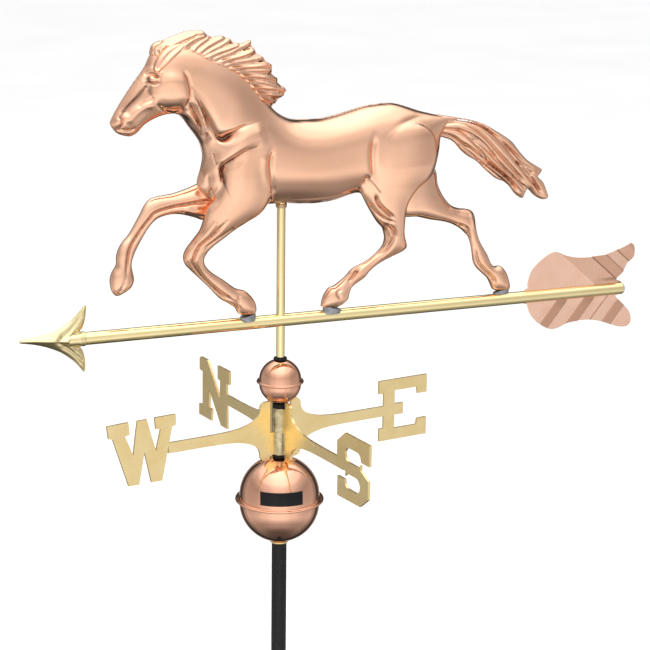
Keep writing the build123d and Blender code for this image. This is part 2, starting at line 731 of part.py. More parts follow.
with BuildPart() as hoof_solder_pads:
    for leg_name, (x, y, half_length) in HOOF_PADS.items():
        with BuildSketch(Plane.XY.offset(ARROW_Z + SHAFT_R - PAD_SINK)) as pad:
            with Locations((x, y)):
                Ellipse(half_length, PAD_HALF_WIDTH)
        extrude(amount=PAD_TOP - ARROW_Z - SHAFT_R + PAD_SINK)
        add(leg_volumes[leg_name], mode=Mode.SUBTRACT)
    with BuildSketch(along_arrow(SHAFT_FRONT)) as shaft_clear:
        Circle(SHAFT_R)
    extrude(amount=SHAFT_END - SHAFT_FRONT, mode=Mode.SUBTRACT)
hoof_solder_pads.part.label = "hoof_solder_pads"
export_step(hoof_solder_pads.part, "parts/hoof_solder_pads.step")
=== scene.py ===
import math

import bmesh
import bpy
import numpy as np
from mathutils import Matrix, Vector


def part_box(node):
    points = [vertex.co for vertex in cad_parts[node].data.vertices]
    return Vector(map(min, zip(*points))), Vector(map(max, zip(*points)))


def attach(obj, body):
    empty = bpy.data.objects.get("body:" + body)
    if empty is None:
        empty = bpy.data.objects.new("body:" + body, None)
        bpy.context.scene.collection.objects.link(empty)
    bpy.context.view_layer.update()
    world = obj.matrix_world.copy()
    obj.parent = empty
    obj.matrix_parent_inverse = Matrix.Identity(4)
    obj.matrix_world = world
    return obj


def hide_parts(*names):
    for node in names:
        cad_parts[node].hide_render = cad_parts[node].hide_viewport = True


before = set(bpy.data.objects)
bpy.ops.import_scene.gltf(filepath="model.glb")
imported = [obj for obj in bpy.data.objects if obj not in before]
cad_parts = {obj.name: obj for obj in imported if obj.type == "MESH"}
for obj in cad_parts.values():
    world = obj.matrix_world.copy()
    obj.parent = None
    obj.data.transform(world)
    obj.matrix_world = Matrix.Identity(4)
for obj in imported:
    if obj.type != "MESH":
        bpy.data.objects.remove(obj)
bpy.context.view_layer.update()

MM = 0.001

# ---- places taken from the frame -----------------------------------------------------------
SHAFT_LOW, SHAFT_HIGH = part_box("arrow_shaft")
ARROW_Z = (SHAFT_LOW.z + SHAFT_HIGH.z) / 2
SHAFT_R = (SHAFT_HIGH.z - SHAFT_LOW.z) / 2


# ---- materials -----------------------------------------------------------------------------
NOISE_ROUGHNESS = 0.55
BRUSH_GRAIN = 900               # scratches in a metre
MIX_A, MIX_B, MIX_RESULT = 6, 7, 2      # sockets of a colour Mix node
SHADE_ATTRIBUTE = "hollow"               # mesh attribute: strength of painted shade, 0 to 1, in creases, along listed lines on the body and in bands across the fins


def fill_ramp(ramp, stops):
    """Set a colour ramp's stops: a position with a colour or a grey."""
    elements = ramp.color_ramp.elements
    while len(elements) < len(stops):
        elements.new(0.5)
    for element, (position, value) in zip(elements, stops):
        element.position = position
        element.color = (*value, 1) if isinstance(value, tuple) else (value, value, value, 1)


class Finish:
    """A node material under construction: a Principled shader and short calls to feed it."""

    def __init__(self, name, color, metallic, roughness):
        self.material = bpy.data.materials.new(name)
        self.material.use_nodes = True
        self.tree = self.material.node_tree
        self.shader = self.tree.nodes["Principled BSDF"]
        self.shader.inputs["Base Color"].default_value = (*color, 1)
        self.shader.inputs["Metallic"].default_value = metallic
        self.shader.inputs["Roughness"].default_value = roughness
        self.place = self.add("ShaderNodeTexCoord").outputs["Object"]

    def add(self, kind, **settings):
        node = self.tree.nodes.new(kind)
        for key, value in settings.items():
            setattr(node, key, value)
        return node

    def link(self, output, entry):
        self.tree.links.new(output, entry)

    def noise(self, scale, detail=3.0, stretch=(1, 1, 1)):
        """Noise of `scale` cells in a metre, stretched along the axes."""
        mapping = self.add("ShaderNodeMapping")
        mapping.inputs["Scale"].default_value = stretch
        self.link(self.place, mapping.inputs["Vector"])
        noise = self.add("ShaderNodeTexNoise")
        noise.inputs["Scale"].default_value = scale
        noise.inputs["Detail"].default_value = detail
        noise.inputs["Roughness"].default_value = NOISE_ROUGHNESS
        self.link(mapping.outputs["Vector"], noise.inputs["Vector"])
        return noise.outputs["Fac"]

    def ramp(self, factor, *stops):
        """Colours, or greys, at places along the factor."""
        ramp = self.add("ShaderNodeValToRGB")
        fill_ramp(ramp, stops)
        self.link(factor, ramp.inputs["Fac"])
        return ramp.outputs["Color"]

    def color(self, output):
        self.link(output, self.shader.inputs["Base Color"])

    def roughness(self, output):
        self.link(output, self.shader.inputs["Roughness"])

    def bump(self, height, distance):
        bump = self.add("ShaderNodeBump")
        bump.inputs["Distance"].default_value = distance
        bump.inputs["Strength"].default_value = 1.0
        self.link(height, bump.inputs["Height"])
        self.link(bump.outputs["Normal"], self.shader.inputs["Normal"])


def buff(finish, tint, smooth, rough, waviness):
    """Buffed sheet metal: a tint, soft buffing haze and a slight waviness."""
    finish.color(tint)
    finish.roughness(finish.ramp(finish.noise(90, 5, (1, 1, 3)), (0.35, smooth), (0.75, rough)))
    finish.bump(finish.noise(45, 2), waviness)
    return finish.material


def scratch(finish, tint, stretch, smooth, rough, depth):
    """Linished flat metal: a tint and fine straight scratches."""
    finish.color(tint)
    lines = finish.noise(BRUSH_GRAIN, 3, stretch)
    finish.roughness(finish.ramp(lines, (0.3, smooth), (0.7, rough)))
    finish.bump(lines, depth)
    return finish.material


def polished(name, light, dark, roughness, waviness):
    """Buffed metal with faint clouds of tint."""
    finish = Finish(name, light, 1.0, roughness)
    clouds = finish.ramp(finish.noise(14, 4), (0.3, dark), (0.7, light))
    return buff(finish, clouds, roughness * 0.8, roughness * 1.5, waviness)


def brushed(name, light, dark, roughness, stretch):
    """Scratched flat metal with faint clouds of tint."""
    finish = Finish(name, light, 1.0, roughness)
    clouds = finish.ramp(finish.noise(38, 5), (0.3, dark), (0.65, light))
    return scratch(finish, clouds, stretch, roughness * 0.75, roughness * 1.4, 0.00006)


def cast(name, light, dark, roughness):
    """A barrel as cast: mottled and a little pitted."""
    finish = Finish(name, light, 1.0, roughness)
    finish.color(finish.ramp(finish.noise(170, 5), (0.35, dark), (0.62, light)))
    finish.roughness(finish.ramp(finish.noise(240, 4), (0.3, roughness * 0.7), (0.7, roughness * 1.4)))
    finish.bump(finish.noise(420, 4), 0.0003)
    return finish.material


def coated(name, color, other, roughness, grain, depth):
    """Paint, rubber or plastic with a fine grain."""
    finish = Finish(name, color, 0.0, roughness)
    finish.color(finish.ramp(finish.noise(grain / 4, 3), (0.35, color), (0.7, other)))
    finish.roughness(finish.ramp(finish.noise(grain, 3), (0.3, roughness * 0.8), (0.7, roughness * 1.2)))
    finish.bump(finish.noise(grain, 4), depth)
    finish.shader.inputs["Specular IOR Level"].default_value = 0.25
    return finish.material


def with_painted_shade(finish, clean, dark):
    """A clean tint with painted shade: it turns dark where the mesh's own attribute says so."""
    mix = finish.add("ShaderNodeMix", data_type="RGBA")
    attribute = finish.add("ShaderNodeAttribute", attribute_name=SHADE_ATTRIBUTE)
    finish.link(attribute.outputs["Fac"], mix.inputs["Factor"])
    finish.link(clean, mix.inputs[MIX_A])
    mix.inputs[MIX_B].default_value = (*dark, 1)
    return mix.outputs[MIX_RESULT]


def stamped_copper():
    """Buffed copper sheet with painted shade, near black, in its creases and along listed lines."""
    finish = Finish("stamped_copper", (0.96, 0.61, 0.43), 1.0, 0.11)
    clean = finish.ramp(finish.noise(14, 4), (0.3, (0.94, 0.53, 0.35)), (0.7, (0.975, 0.59, 0.41)))
    # the dark tint is painted shade in the creases and along the listed lines
    return buff(finish, with_painted_shade(finish, clean, (0.07, 0.026, 0.016)), 0.085, 0.16, 0.00008)


def banded_copper():
    """Satin sheet with bands of painted shade across its pleats, light and dark."""
    finish = Finish("satin_copper", (0.96, 0.62, 0.46), 1.0, 0.3)
    light = finish.ramp(finish.noise(38, 5), (0.3, (0.93, 0.57, 0.42)), (0.65, (0.97, 0.64, 0.49)))
    # the dark tint is painted shade in bands across the pleats
    tint = with_painted_shade(finish, light, (0.50, 0.27, 0.18))
    return scratch(finish, tint, (1, 1, 0.05), 0.22, 0.38, 0.00005)


MIRROR_COPPER = stamped_copper()
GLOBE_COPPER = polished("globe_copper", (0.86, 0.48, 0.33), (0.80, 0.42, 0.28), 0.05, 0.00003)
SATIN_COPPER = banded_copper()
POLISHED_BRASS = polished("polished_brass", (0.95, 0.80, 0.44), (0.90, 0.73, 0.37), 0.07, 0.00003)
HEAD_BRASS = polished("arrow_head_brass", (0.88, 0.74, 0.42), (0.76, 0.61, 0.32), 0.20, 0.0003)
SATIN_BRASS = brushed("satin_brass", (1.0, 0.80, 0.42), (0.95, 0.72, 0.34), 0.30, (0.06, 1, 1))
CAST_BRASS = cast("cast_brass", (0.72, 0.62, 0.38), (0.42, 0.34, 0.20), 0.34)
BRONZE = polished("bush_bronze", (0.62, 0.45, 0.27), (0.5, 0.35, 0.2), 0.3, 0.00003)
STEEL = polished("steel_rod", (0.5, 0.5, 0.52), (0.42, 0.42, 0.44), 0.25, 0.00003)
SCREW_STEEL = polished("screw_steel", (0.3, 0.3, 0.32), (0.22, 0.22, 0.24), 0.35, 0.00003)
SOLDER = cast("grey_solder", (0.42, 0.43, 0.45), (0.26, 0.27, 0.28), 0.45)
POLE_PAINT = coated("pole_black", (0.005, 0.005, 0.006), (0.010, 0.010, 0.011), 0.30, 700, 0.00005)
RUBBER = coated("black_rubber", (0.005, 0.005, 0.005), (0.011, 0.011, 0.011), 0.6, 500, 0.0001)
LABEL = coated("label_black", (0.003, 0.003, 0.004), (0.006, 0.006, 0.007), 0.16, 300, 0.00002)


# ---- small mesh helpers --------------------------------------------------------------------
WELD = 1e-6                     # points nearer than this are one
LATHE_CREASE = 35               # degrees
EDGE_STEPS = 6                  # faces in a rounded edge


def make_piece(name, verts, faces, finish, body, nodes):
    """A finished mesh piece, standing for CAD nodes and riding on a body."""
    mesh = bpy.data.meshes.new(name)
    mesh.from_pydata(verts, [], faces)
    mesh.validate()
    mesh.polygons.foreach_set("use_smooth", [True] * len(mesh.polygons))
    piece = bpy.data.objects.new(name, mesh)
    bpy.context.scene.collection.objects.link(piece)
    mesh.materials.append(finish)
    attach(piece, body)
    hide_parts(*nodes)
    return piece


def sharpen(piece, degrees):
    """Keep edges steeper than this crisp under smooth shading."""
    piece.data.set_sharp_from_angle(angle=math.radians(degrees))


def lathe(name, profile, finish, body, node, origin=(0, 0, 0), along="Z", turns=128):
    """Spin a closed profile of (radius, height) in metres about an axis through the origin."""
    profile = np.array(profile)
    angles = np.linspace(0, 2 * math.pi, turns, endpoint=False)
    radius, height = profile[:, 0], profile[:, 1]
    across = np.cos(angles)[:, None] * radius
    depth = np.sin(angles)[:, None] * radius
    rise = np.broadcast_to(height, across.shape)
    layers = (across, depth, rise) if along == "Z" else (rise, across, depth)
    verts = np.stack(layers, axis=-1).reshape(-1, 3) + np.array(origin)
    count = len(profile)
    faces = []
    for turn in range(turns):
        here, there = turn * count, (turn + 1) % turns * count
        for i in range(count):
            j = (i + 1) % count
            faces.append((here + i, there + i, there + j, here + j))
    piece = make_piece(name, verts.tolist(), faces, finish, body, [node])
    weld(piece)
    sharpen(piece, LATHE_CREASE)
    return piece


def weld(piece):
    """Merge doubled points and turn all faces outwards."""
    edit = bmesh.new()
    edit.from_mesh(piece.data)
    bmesh.ops.remove_doubles(edit, verts=edit.verts, dist=WELD)
    bmesh.ops.recalc_face_normals(edit, faces=edit.faces)
    edit.to_mesh(piece.data)
    edit.free()


def arc(centre, radius, start, end, steps):
    """Points on an arc, as (radius, height), angles in degrees from the outward direction."""
    points = []
    for i in range(steps + 1):
        angle = math.radians(start + (end - start) * i / steps)
        points.append((centre[0] + radius * math.cos(angle), centre[1] + radius * math.sin(angle)))
    return points


def ring_profile(inner, outer, low, high, edge):
    """Closed profile of a ring with rounded outer edges."""
    return (
        [(inner, low)]
        + arc((outer - edge, low + edge), edge, -90, 0, EDGE_STEPS)
        + arc((outer - edge, high - edge), edge, 0, 90, EDGE_STEPS)
        + [(inner, high)]
    )


# ---- outlines ------------------------------------------------------------------------------
def smooth_line(points, closed=False, steps=6):
    """Points along a Catmull-Rom curve through the given ones."""
    p = np.array(points, dtype=float)
    if closed:
        padded = np.vstack([p[-1], p, p[0], p[1]])
        spans = len(p)
    else:
        padded = np.vstack([2 * p[0] - p[1], p, 2 * p[-1] - p[-2]])
        spans = len(p) - 1
    t = np.linspace(0, 1, steps, endpoint=False)[:, None]
    rows = []
    for i in range(spans):
        a, b, c, d = padded[i:i + 4]
        rows.append(0.5 * (2 * b + (c - a) * t + (2 * a - 5 * b + 4 * c - d) * t**2
                           + (3 * b - a - 3 * c + d) * t**3))
    if not closed:
        rows.append(p[-1:])
    return np.vstack(rows)


FAR = 1e9
TINY = 1e-9
RIM_SLOPE = 12                  # slope of a skin's squared depth at and outside its outline
RIM_CELLS = 4                   # width of the rim where that slope is evened out


class Field:
    """A side-view grid, X along the arrow and Z over it, in millimetres."""

    def __init__(self, x_range, z_range, step):
        self.step = step
        self.xs = np.arange(x_range[0], x_range[1] + step, step)
        self.zs = np.arange(z_range[0], z_range[1] + step, step)
        self.x, self.z = np.meshgrid(self.xs, self.zs, indexing="ij")

    def near_line(self, points):
        """Distance to a line, how far along it (0 to 1) its nearest point is, and which side."""
        line = smooth_line(points) if len(points) > 2 else np.array(points, float)
        lengths = np.linalg.norm(np.diff(line, axis=0), axis=1)
        starts = np.concatenate([[0], np.cumsum(lengths)])
        best = np.full(self.x.shape, FAR)
        along = np.zeros(self.x.shape)
        side = np.zeros(self.x.shape)
        for i in range(len(line) - 1):
            ax, az = line[i]
            dx, dz = line[i + 1] - line[i]
            length2 = dx * dx + dz * dz + TINY
            px, pz = self.x - ax, self.z - az
            t = np.clip((px * dx + pz * dz) / length2, 0, 1)
            qx, qz = px - t * dx, pz - t * dz
            d2 = qx * qx + qz * qz
            closer = d2 < best
            best = np.where(closer, d2, best)
            along = np.where(closer, (starts[i] + t * lengths[i]) / starts[-1], along)
            side = np.where(closer, np.sign(dx * pz - dz * px), side)
        return np.sqrt(best), along, side

    def inside_distance(self, outline):
        """Distance in from a closed outline, negative outside it."""
        best = np.full(self.x.shape, FAR)
        inside = np.zeros(self.x.shape, bool)
        ends = np.roll(outline, -1, axis=0)
        for (ax, az), (bx, bz) in zip(outline, ends):
            dx, dz = bx - ax, bz - az
            px, pz = self.x - ax, self.z - az
            t = np.clip((px * dx + pz * dz) / (dx * dx + dz * dz + TINY), 0, 1)
            best = np.minimum(best, (px - t * dx) ** 2 + (pz - t * dz) ** 2)
            if az != bz:
                crosses = (az > self.z) != (bz > self.z)
                inside ^= crosses & (self.x < ax + (self.z - az) * dx / dz)
        distance = np.sqrt(best)
        return np.where(inside, distance, -distance)

    def inflate(self, outline, ratio, rounds=260):
        """Square of the half depth of a skin blown up over an outline, negative outside.

        The skin is a membrane under even pressure, so a long shape gets an oval section whose
        depth is `ratio` of its width.
        """
        distance = self.inside_distance(outline)
        mask = distance > 0
        cover = np.argwhere(mask)
        (i0, k0), (i1, k1) = np.maximum(cover.min(0) - 1, 0), cover.max(0) + 2
        inner = mask[i0:i1, k0:k1].copy()
        inner[0], inner[-1], inner[:, 0], inner[:, -1] = False, False, False, False
        u = np.where(inner, distance[i0:i1, k0:k1] * RIM_SLOPE, 0)
        i, k = np.indices(inner.shape)
        narrow = min(inner.shape)
        relax = 2 / (1 + math.sin(math.pi / narrow))
        weights = [(inner & ((i + k) % 2 == colour))[1:-1, 1:-1] * relax for colour in (0, 1)]
        load = self.step**2 / 4
        for _ in range(rounds):
            for weight in weights:
                mean = (u[:-2, 1:-1] + u[2:, 1:-1] + u[1:-1, :-2] + u[1:-1, 2:]) / 4 + load
                u[1:-1, 1:-1] += weight * (mean - u[1:-1, 1:-1])
        skin = np.zeros(mask.shape)
        skin[i0:i1, k0:k1] = u
        slope = np.where(mask, skin / np.maximum(distance, self.step), 0)
        smooth_slope = blur(slope, 3) / np.maximum(blur(mask.astype(float), 3), 0.05)
        rim = np.clip(distance / (RIM_CELLS * self.step), 0, 1)
        rim = rim * rim * (3 - 2 * rim)
        inside_value = np.where(mask, (1 - rim) * smooth_slope * distance + rim * skin, 0)
        outside_value = np.minimum(distance, 0) * RIM_SLOPE
        return 2 * ratio**2 * np.where(mask, inside_value, outside_value), distance


def blur(values, cells):
    """Repeated small box blur of a side-view map."""
    for _ in range(cells):
        padded = np.pad(values, 1, mode="edge")
        values = (padded[:-2, 1:-1] + padded[2:, 1:-1] + padded[1:-1, :-2] + padded[1:-1, 2:]
                  + 2 * padded[1:-1, 1:-1]) / 6
    return values


def smoothstep(low, high, values):
    t = np.clip((values - low) / (high - low), 0, 1)
    return t * t * (3 - 2 * t)


def groove(field, points, width, depth, fade=0.15):
    """Relief of a soft groove (or a ridge, with a negative depth) that fades out at both ends."""
    distance, along, _ = field.near_line(points)
    ends = smoothstep(0, fade, along) * smoothstep(0, fade, 1 - along)
    return -depth * np.exp(-(distance / width) ** 2) * (0.15 + 0.85 * ends)


SWELL_BLUR = 4.0                # millimetres over which the swelling beside a crease is softened
VALLEY_SHARPNESS = 1.3


def crease(field, points, width, depth, lift, reach, fade=0.4):
    """A sharp valley along a line, deepest at its middle, between swelling sides.

    The skin on its right side swells by `lift`, and the other side by half of that.
    """
    distance, along, side = field.near_line(points)
    ends = smoothstep(0, fade, along) * smoothstep(0, fade, 1 - along)
    valley = -depth * np.exp(-((distance / width) ** VALLEY_SHARPNESS))
    bank = 1 - np.exp(-((distance / width) ** VALLEY_SHARPNESS))
    rise = np.exp(-((distance / reach) ** 2)) * bank
    swell = lift * rise * np.where(side < 0, 1.0, 0.5) * ends
    return valley * ends + blur(swell, round(3 * (SWELL_BLUR / field.step) ** 2))


def dome(field, centre, radii, turn, height, power=1.0):
    """A smooth oval swelling, `turn` degrees from X."""
    a = math.radians(turn)
    dx, dz = field.x - centre[0], field.z - centre[1]
    u = (dx * math.cos(a) + dz * math.sin(a)) / radii[0]
    v = (-dx * math.sin(a) + dz * math.cos(a)) / radii[1]
    return height * np.exp(-((u * u + v * v) ** power))


def with_relief(height2, distance, relief, rim=5.0):
    """Add a relief to an inflated skin, faded to nothing at its outline."""
    height = np.sqrt(np.maximum(height2, 0))
    raised = np.maximum(height + relief * smoothstep(0, rim, distance), 0.3)
    return np.where(height2 > 0, raised**2, height2)


# ---- from a field to a mesh ----------------------------------------------------------------
def skin_field(field, height2, ys, y0=0.0):
    """Signed field, about in millimetres, of the solid |y - y0| < sqrt(height2)."""
    gx, gz = np.gradient(height2, field.step)
    slope2 = gx * gx + gz * gz
    offset = ys[None, :, None] - (y0[:, None, :] if isinstance(y0, np.ndarray) else y0)
    squared = offset * offset
    return ((squared - height2[:, None, :])
            / np.sqrt(4 * squared + slope2[:, None, :] + 4.0)).astype(np.float32)


def join(a, b, radius):
    """Smooth union of two fields."""
    t = np.clip(0.5 + 0.5 * (b - a) / radius, 0, 1)
    return b * (1 - t) + a * t - radius * t * (1 - t)


CORNERS = [(i, j, k) for i in (0, 1) for j in (0, 1) for k in (0, 1)]
CELL_EDGES = [(a, b) for a in range(8) for b in range(a + 1, 8)
              if sum(abs(p - q) for p, q in zip(CORNERS[a], CORNERS[b])) == 1]


def surface_nets(values, origin, steps, passes=3):
    """Closed quad mesh of the zero level of a field that is negative inside."""
    inside = values < 0
    n = np.array(values.shape)
    total = np.zeros(n - 1, np.int8)
    for i, j, k in CORNERS:
        total += inside[i:n[0] - 1 + i, j:n[1] - 1 + j, k:n[2] - 1 + k]
    active = (total > 0) & (total < 8)
    cells = np.argwhere(active)
    number = np.full(active.shape, -1, np.int32)
    number[active] = np.arange(len(cells))
    corner_values = np.stack([values[tuple((cells + c).T)] for c in CORNERS], axis=1)
    place = np.zeros((len(cells), 3))
    hits = np.zeros(len(cells))
    for a, b in CELL_EDGES:
        va, vb = corner_values[:, a], corner_values[:, b]
        cut = (va < 0) != (vb < 0)
        t = np.where(cut, va / np.where(cut, va - vb, 1), 0)
        point = np.array(CORNERS[a]) + t[:, None] * (np.array(CORNERS[b]) - np.array(CORNERS[a]))
        place += np.where(cut[:, None], point, 0)
        hits += cut
    verts = cells + place / hits[:, None]
    faces = []
    for axis in range(3):
        u, v = (axis + 1) % 3, (axis + 2) % 3
        here = [slice(None)] * 3
        there = [slice(None)] * 3
        here[axis], there[axis] = slice(0, -1), slice(1, None)
        for other in (u, v):
            here[other] = there[other] = slice(1, -1)
        before, after = inside[tuple(here)], inside[tuple(there)]
        spots = np.argwhere(before != after)
        spots[:, u] += 1
        spots[:, v] += 1
        enters = inside[tuple(spots.T)]
        quad = []
        for du, dv in ((1, 1), (0, 1), (0, 0), (1, 0)):
            cell = spots.copy()
            cell[:, u] -= du
            cell[:, v] -= dv
            quad.append(number[tuple(cell.T)])
        quad = np.stack(quad, axis=1)
        quad[~enters] = quad[~enters][:, ::-1]
        faces.append(quad)
    faces = np.vstack(faces)
    verts = settle(values, verts, faces, passes)
    return np.array(origin) + verts * np.array(steps), faces


def sample(values, verts):
    """Field and its gradient at points given in cells, by trilinear interpolation."""
    top = np.array(values.shape) - 1.001
    p = np.clip(verts, 0, top)
    base = p.astype(int)
    f = p - base
    result = np.zeros(len(p))
    slope = np.zeros((len(p), 3))
    for c in CORNERS:
        v = values[tuple((base + c).T)]
        w = [f[:, a] if c[a] else 1 - f[:, a] for a in range(3)]
        result += v * w[0] * w[1] * w[2]
        for a in range(3):
            sign = 1 if c[a] else -1
            slope[:, a] += sign * v * w[(a + 1) % 3] * w[(a + 2) % 3]
    return result, slope


PULL, LAST_PULL = 0.6, 0.35     # share of the way towards the neighbours' middle
MAX_RETURN = 0.5                # cells


def settle(values, verts, faces, passes):
    """Even out the mesh: each point moves towards its neighbours' middle, then back to the level."""
    ends = np.vstack([faces[:, [i, (i + 1) % 4]] for i in range(4)])
    a = np.concatenate([ends[:, 0], ends[:, 1]])
    b = np.concatenate([ends[:, 1], ends[:, 0]])
    count = np.bincount(a, minlength=len(verts))[:, None]

    def middle_of_neighbours():
        return np.stack([np.bincount(a, verts[b, c], len(verts)) for c in range(3)], 1) / count

    for _ in range(passes):
        verts = verts + PULL * (middle_of_neighbours() - verts)
        value, slope = sample(values, verts)
        shift = value[:, None] * slope / np.maximum((slope**2).sum(1)[:, None], 1e-6)
        verts = verts - np.clip(shift, -MAX_RETURN, MAX_RETURN)
    return verts + LAST_PULL * (middle_of_neighbours() - verts)


def look_up(field, values, x, z):
    """Values of a side-view map at places given in millimetres."""
    i = np.clip((x - field.xs[0]) / field.step, 0, len(field.xs) - 1.001)
    k = np.clip((z - field.zs[0]) / field.step, 0, len(field.zs) - 1.001)
    i0, k0 = i.astype(int), k.astype(int)
    u, v = i - i0, k - k0
    return ((values[i0, k0] * (1 - u) + values[i0 + 1, k0] * u) * (1 - v)
            + (values[i0, k0 + 1] * (1 - u) + values[i0 + 1, k0 + 1] * u) * v)


CREASE_SHADE_START, CREASE_SHADE_DEPTH = 0.15, 1.3      # millimetres below the skin around: where painted shade in a crease starts, and over how much more it grows to full


def crease_shade_map(height2, field, reach=3.0):
    """How far each point of a skin lies below the skin around it, 0 to 1: the strength of painted shade
    in creases.
    """
    height = np.sqrt(np.maximum(height2, 0))
    around = blur(height, max(2, round((reach / field.step) ** 2)))
    shade_strength = np.clip((around - height - CREASE_SHADE_START) / CREASE_SHADE_DEPTH, 0, 1) ** 1.5
    return np.where(blur((height2 > 0).astype(float), 4) > 0.98, shade_strength, 0)


def sculpted(name, values, field, ys, finish, nodes, sharp, passes=3, hollow=None):
    """Mesh a field drawn over a side-view grid into a piece of the vane, at its height."""
    steps = (field.step, ys[1] - ys[0], field.step)
    verts, faces = surface_nets(values, (field.xs[0], ys[0], field.zs[0]), steps, passes)
    # the map, if given, is painted shade, sampled onto the points and stored as their attribute
    tint = None if hollow is None else look_up(field, hollow, verts[:, 0], verts[:, 2])
    verts = verts * MM + np.array((0, 0, ARROW_Z))
    piece = make_piece(name, verts.tolist(), faces.tolist(), finish, "vane", nodes)
    if tint is not None:
        piece.data.attributes.new(SHADE_ATTRIBUTE, "FLOAT", "POINT").data.foreach_set("value", tint)
    sharpen(piece, sharp)
    return piece


# ---- the horse: side-view outlines (x along the arrow, z over its axis, millimetres) ----------
BODY = [
    (-211, 250), (-215, 257), (-212, 265), (-202, 281), (-190, 298), (-179, 312), (-171, 323),
    (-166, 334), (-158, 343), (-146, 348), (-130, 350), (-112, 348), (-92, 341), (-70, 328),
    (-50, 312), (-34, 293), (-20, 274), (-8, 261), (10, 251), (30, 249), (50, 249), (70, 252),
    (91, 257), (108, 261), (129, 263), (145, 263), (163, 258), (180, 252), (198, 247), (214, 243),
    (221, 238), (216, 228), (209, 216), (208, 202), (205, 186), (200, 170), (186, 158),
    (165, 152), (140, 150), (118, 151), (100, 154), (88, 153), (75, 149), (60, 146),
    (41, 145), (20, 146), (0, 148),
    (-22, 148), (-45, 150), (-70, 152), (-92, 158), (-104, 168), (-108, 180), (-103, 196),
    (-100, 210), (-103, 225), (-109, 236), (-118, 248), (-127, 260), (-137, 265), (-150, 264),
    (-162, 260), (-173, 254), (-182, 245), (-190, 241), (-198, 242), (-206, 245),
]
FORELEG_NEAR = [
    (-20, 146), (-31, 135), (-45, 128), (-60, 120), (-75, 110), (-91, 99), (-98, 91), (-100, 84),
    (-97, 76), (-88, 67), (-75, 58), (-61, 47), (-54, 44), (-46, 41), (-38, 33), (-33, 24),
    (-32, 15), (-36, 11), (-50, 11), (-56, 14), (-61, 22), (-71, 29), (-78, 33), (-86, 41),
    (-94, 50), (-106, 62), (-117, 73), (-124, 81), (-126, 90), (-123, 99), (-114, 110),
    (-105, 121), (-101, 131), (-96, 146), (-84, 160), (-76, 176), (-72, 196), (-60, 212),
    (-40, 214), (-22, 204), (-14, 184), (-14, 162),
]
HINDLEG_NEAR = [
    (104, 158), (112, 139), (126, 116), (134, 107), (137, 99), (138, 91), (134, 82), (121, 71),
    (111, 65), (95, 58), (88, 51), (80, 44), (71, 38), (64, 36), (57, 27), (54, 18), (54, 12),
    (66, 10), (78, 11), (89, 19), (91, 27), (95, 35), (111, 45), (118, 53), (131, 62),
    (149, 70), (162, 75), (168, 80), (167, 87), (164, 98), (164, 113), (165, 122), (169, 137),
    (180, 152), (195, 164), (204, 182), (206, 202), (200, 222), (182, 234), (158, 234),
    (138, 222), (126, 204), (120, 186), (112, 172),
]
FORELEG_FAR = [
    (-108, 179), (-121, 174), (-140, 169), (-158, 167), (-168, 164), (-175, 156), (-181, 145),
    (-188, 133), (-195, 122), (-203, 113), (-208, 104), (-210, 95), (-210, 87), (-215, 79),
    (-218, 70), (-217, 59), (-214, 52), (-209, 49), (-201, 52), (-192, 58), (-188, 68),
    (-190, 79), (-191, 87), (-189, 95), (-185, 104), (-177, 118), (-169, 130), (-160, 139),
    (-149, 143), (-137, 144), (-125, 142), (-112, 138), (-100, 134), (-80, 138), (-62, 146),
    (-58, 166), (-74, 182), (-92, 186),
]
HINDLEG_FAR = [
    (204, 178), (208, 158), (217, 141), (227, 130), (238, 125), (250, 123), (257, 120),
    (261, 113), (263, 100), (269, 81), (281, 61), (286, 50), (292, 45), (300, 45), (308, 37),
    (313, 25), (315, 15), (311, 11), (298, 12), (290, 15), (286, 23), (281, 31), (269, 42),
    (262, 52), (259, 69), (254, 85), (248, 92), (240, 99), (227, 106), (213, 110), (198, 113),
    (179, 118), (160, 120), (148, 134), (144, 160), (158, 182), (182, 190),
]
TAIL = [
    (190, 242), (204, 246), (215, 244), (240, 239), (254, 236), (273, 229), (292, 218),
    (310, 206), (322, 192), (334, 180), (347, 172), (355, 167), (353, 162), (349, 158),
    (357, 151), (362, 141), (366, 130), (359, 127), (350, 130), (342, 136), (335, 143),
    (332, 138), (329, 131), (323, 133), (316, 139), (309, 148), (300, 155), (290, 159),
    (275, 171), (262, 183), (250, 190), (240, 198), (231, 208), (223, 213), (211, 217),
    (198, 219), (190, 226),
]
TAIL_LOCKS = [
    [(205, 232), (239, 232), (266, 219), (294, 190), (316, 167), (333, 149)],
    [(206, 227), (237, 223), (258, 207), (281, 180), (306, 160), (326, 138)],
    [(208, 223), (230, 215), (248, 200), (266, 184), (290, 165), (314, 146)],
    [(206, 237), (247, 234), (279, 220), (307, 192), (330, 165), (347, 147), (360, 133)],
    [(230, 237), (262, 231), (290, 213), (312, 194), (335, 173), (350, 165)],
    [(242, 208), (262, 193), (289, 172), (312, 155), (327, 139)],
    [(316, 180), (334, 166), (348, 148), (357, 135)],
    [(254, 214), (276, 196), (296, 176), (318, 156), (336, 142)],
    [(232, 227), (256, 216), (274, 202), (290, 184)],
    [(300, 204), (318, 186), (336, 167), (346, 160)],
]
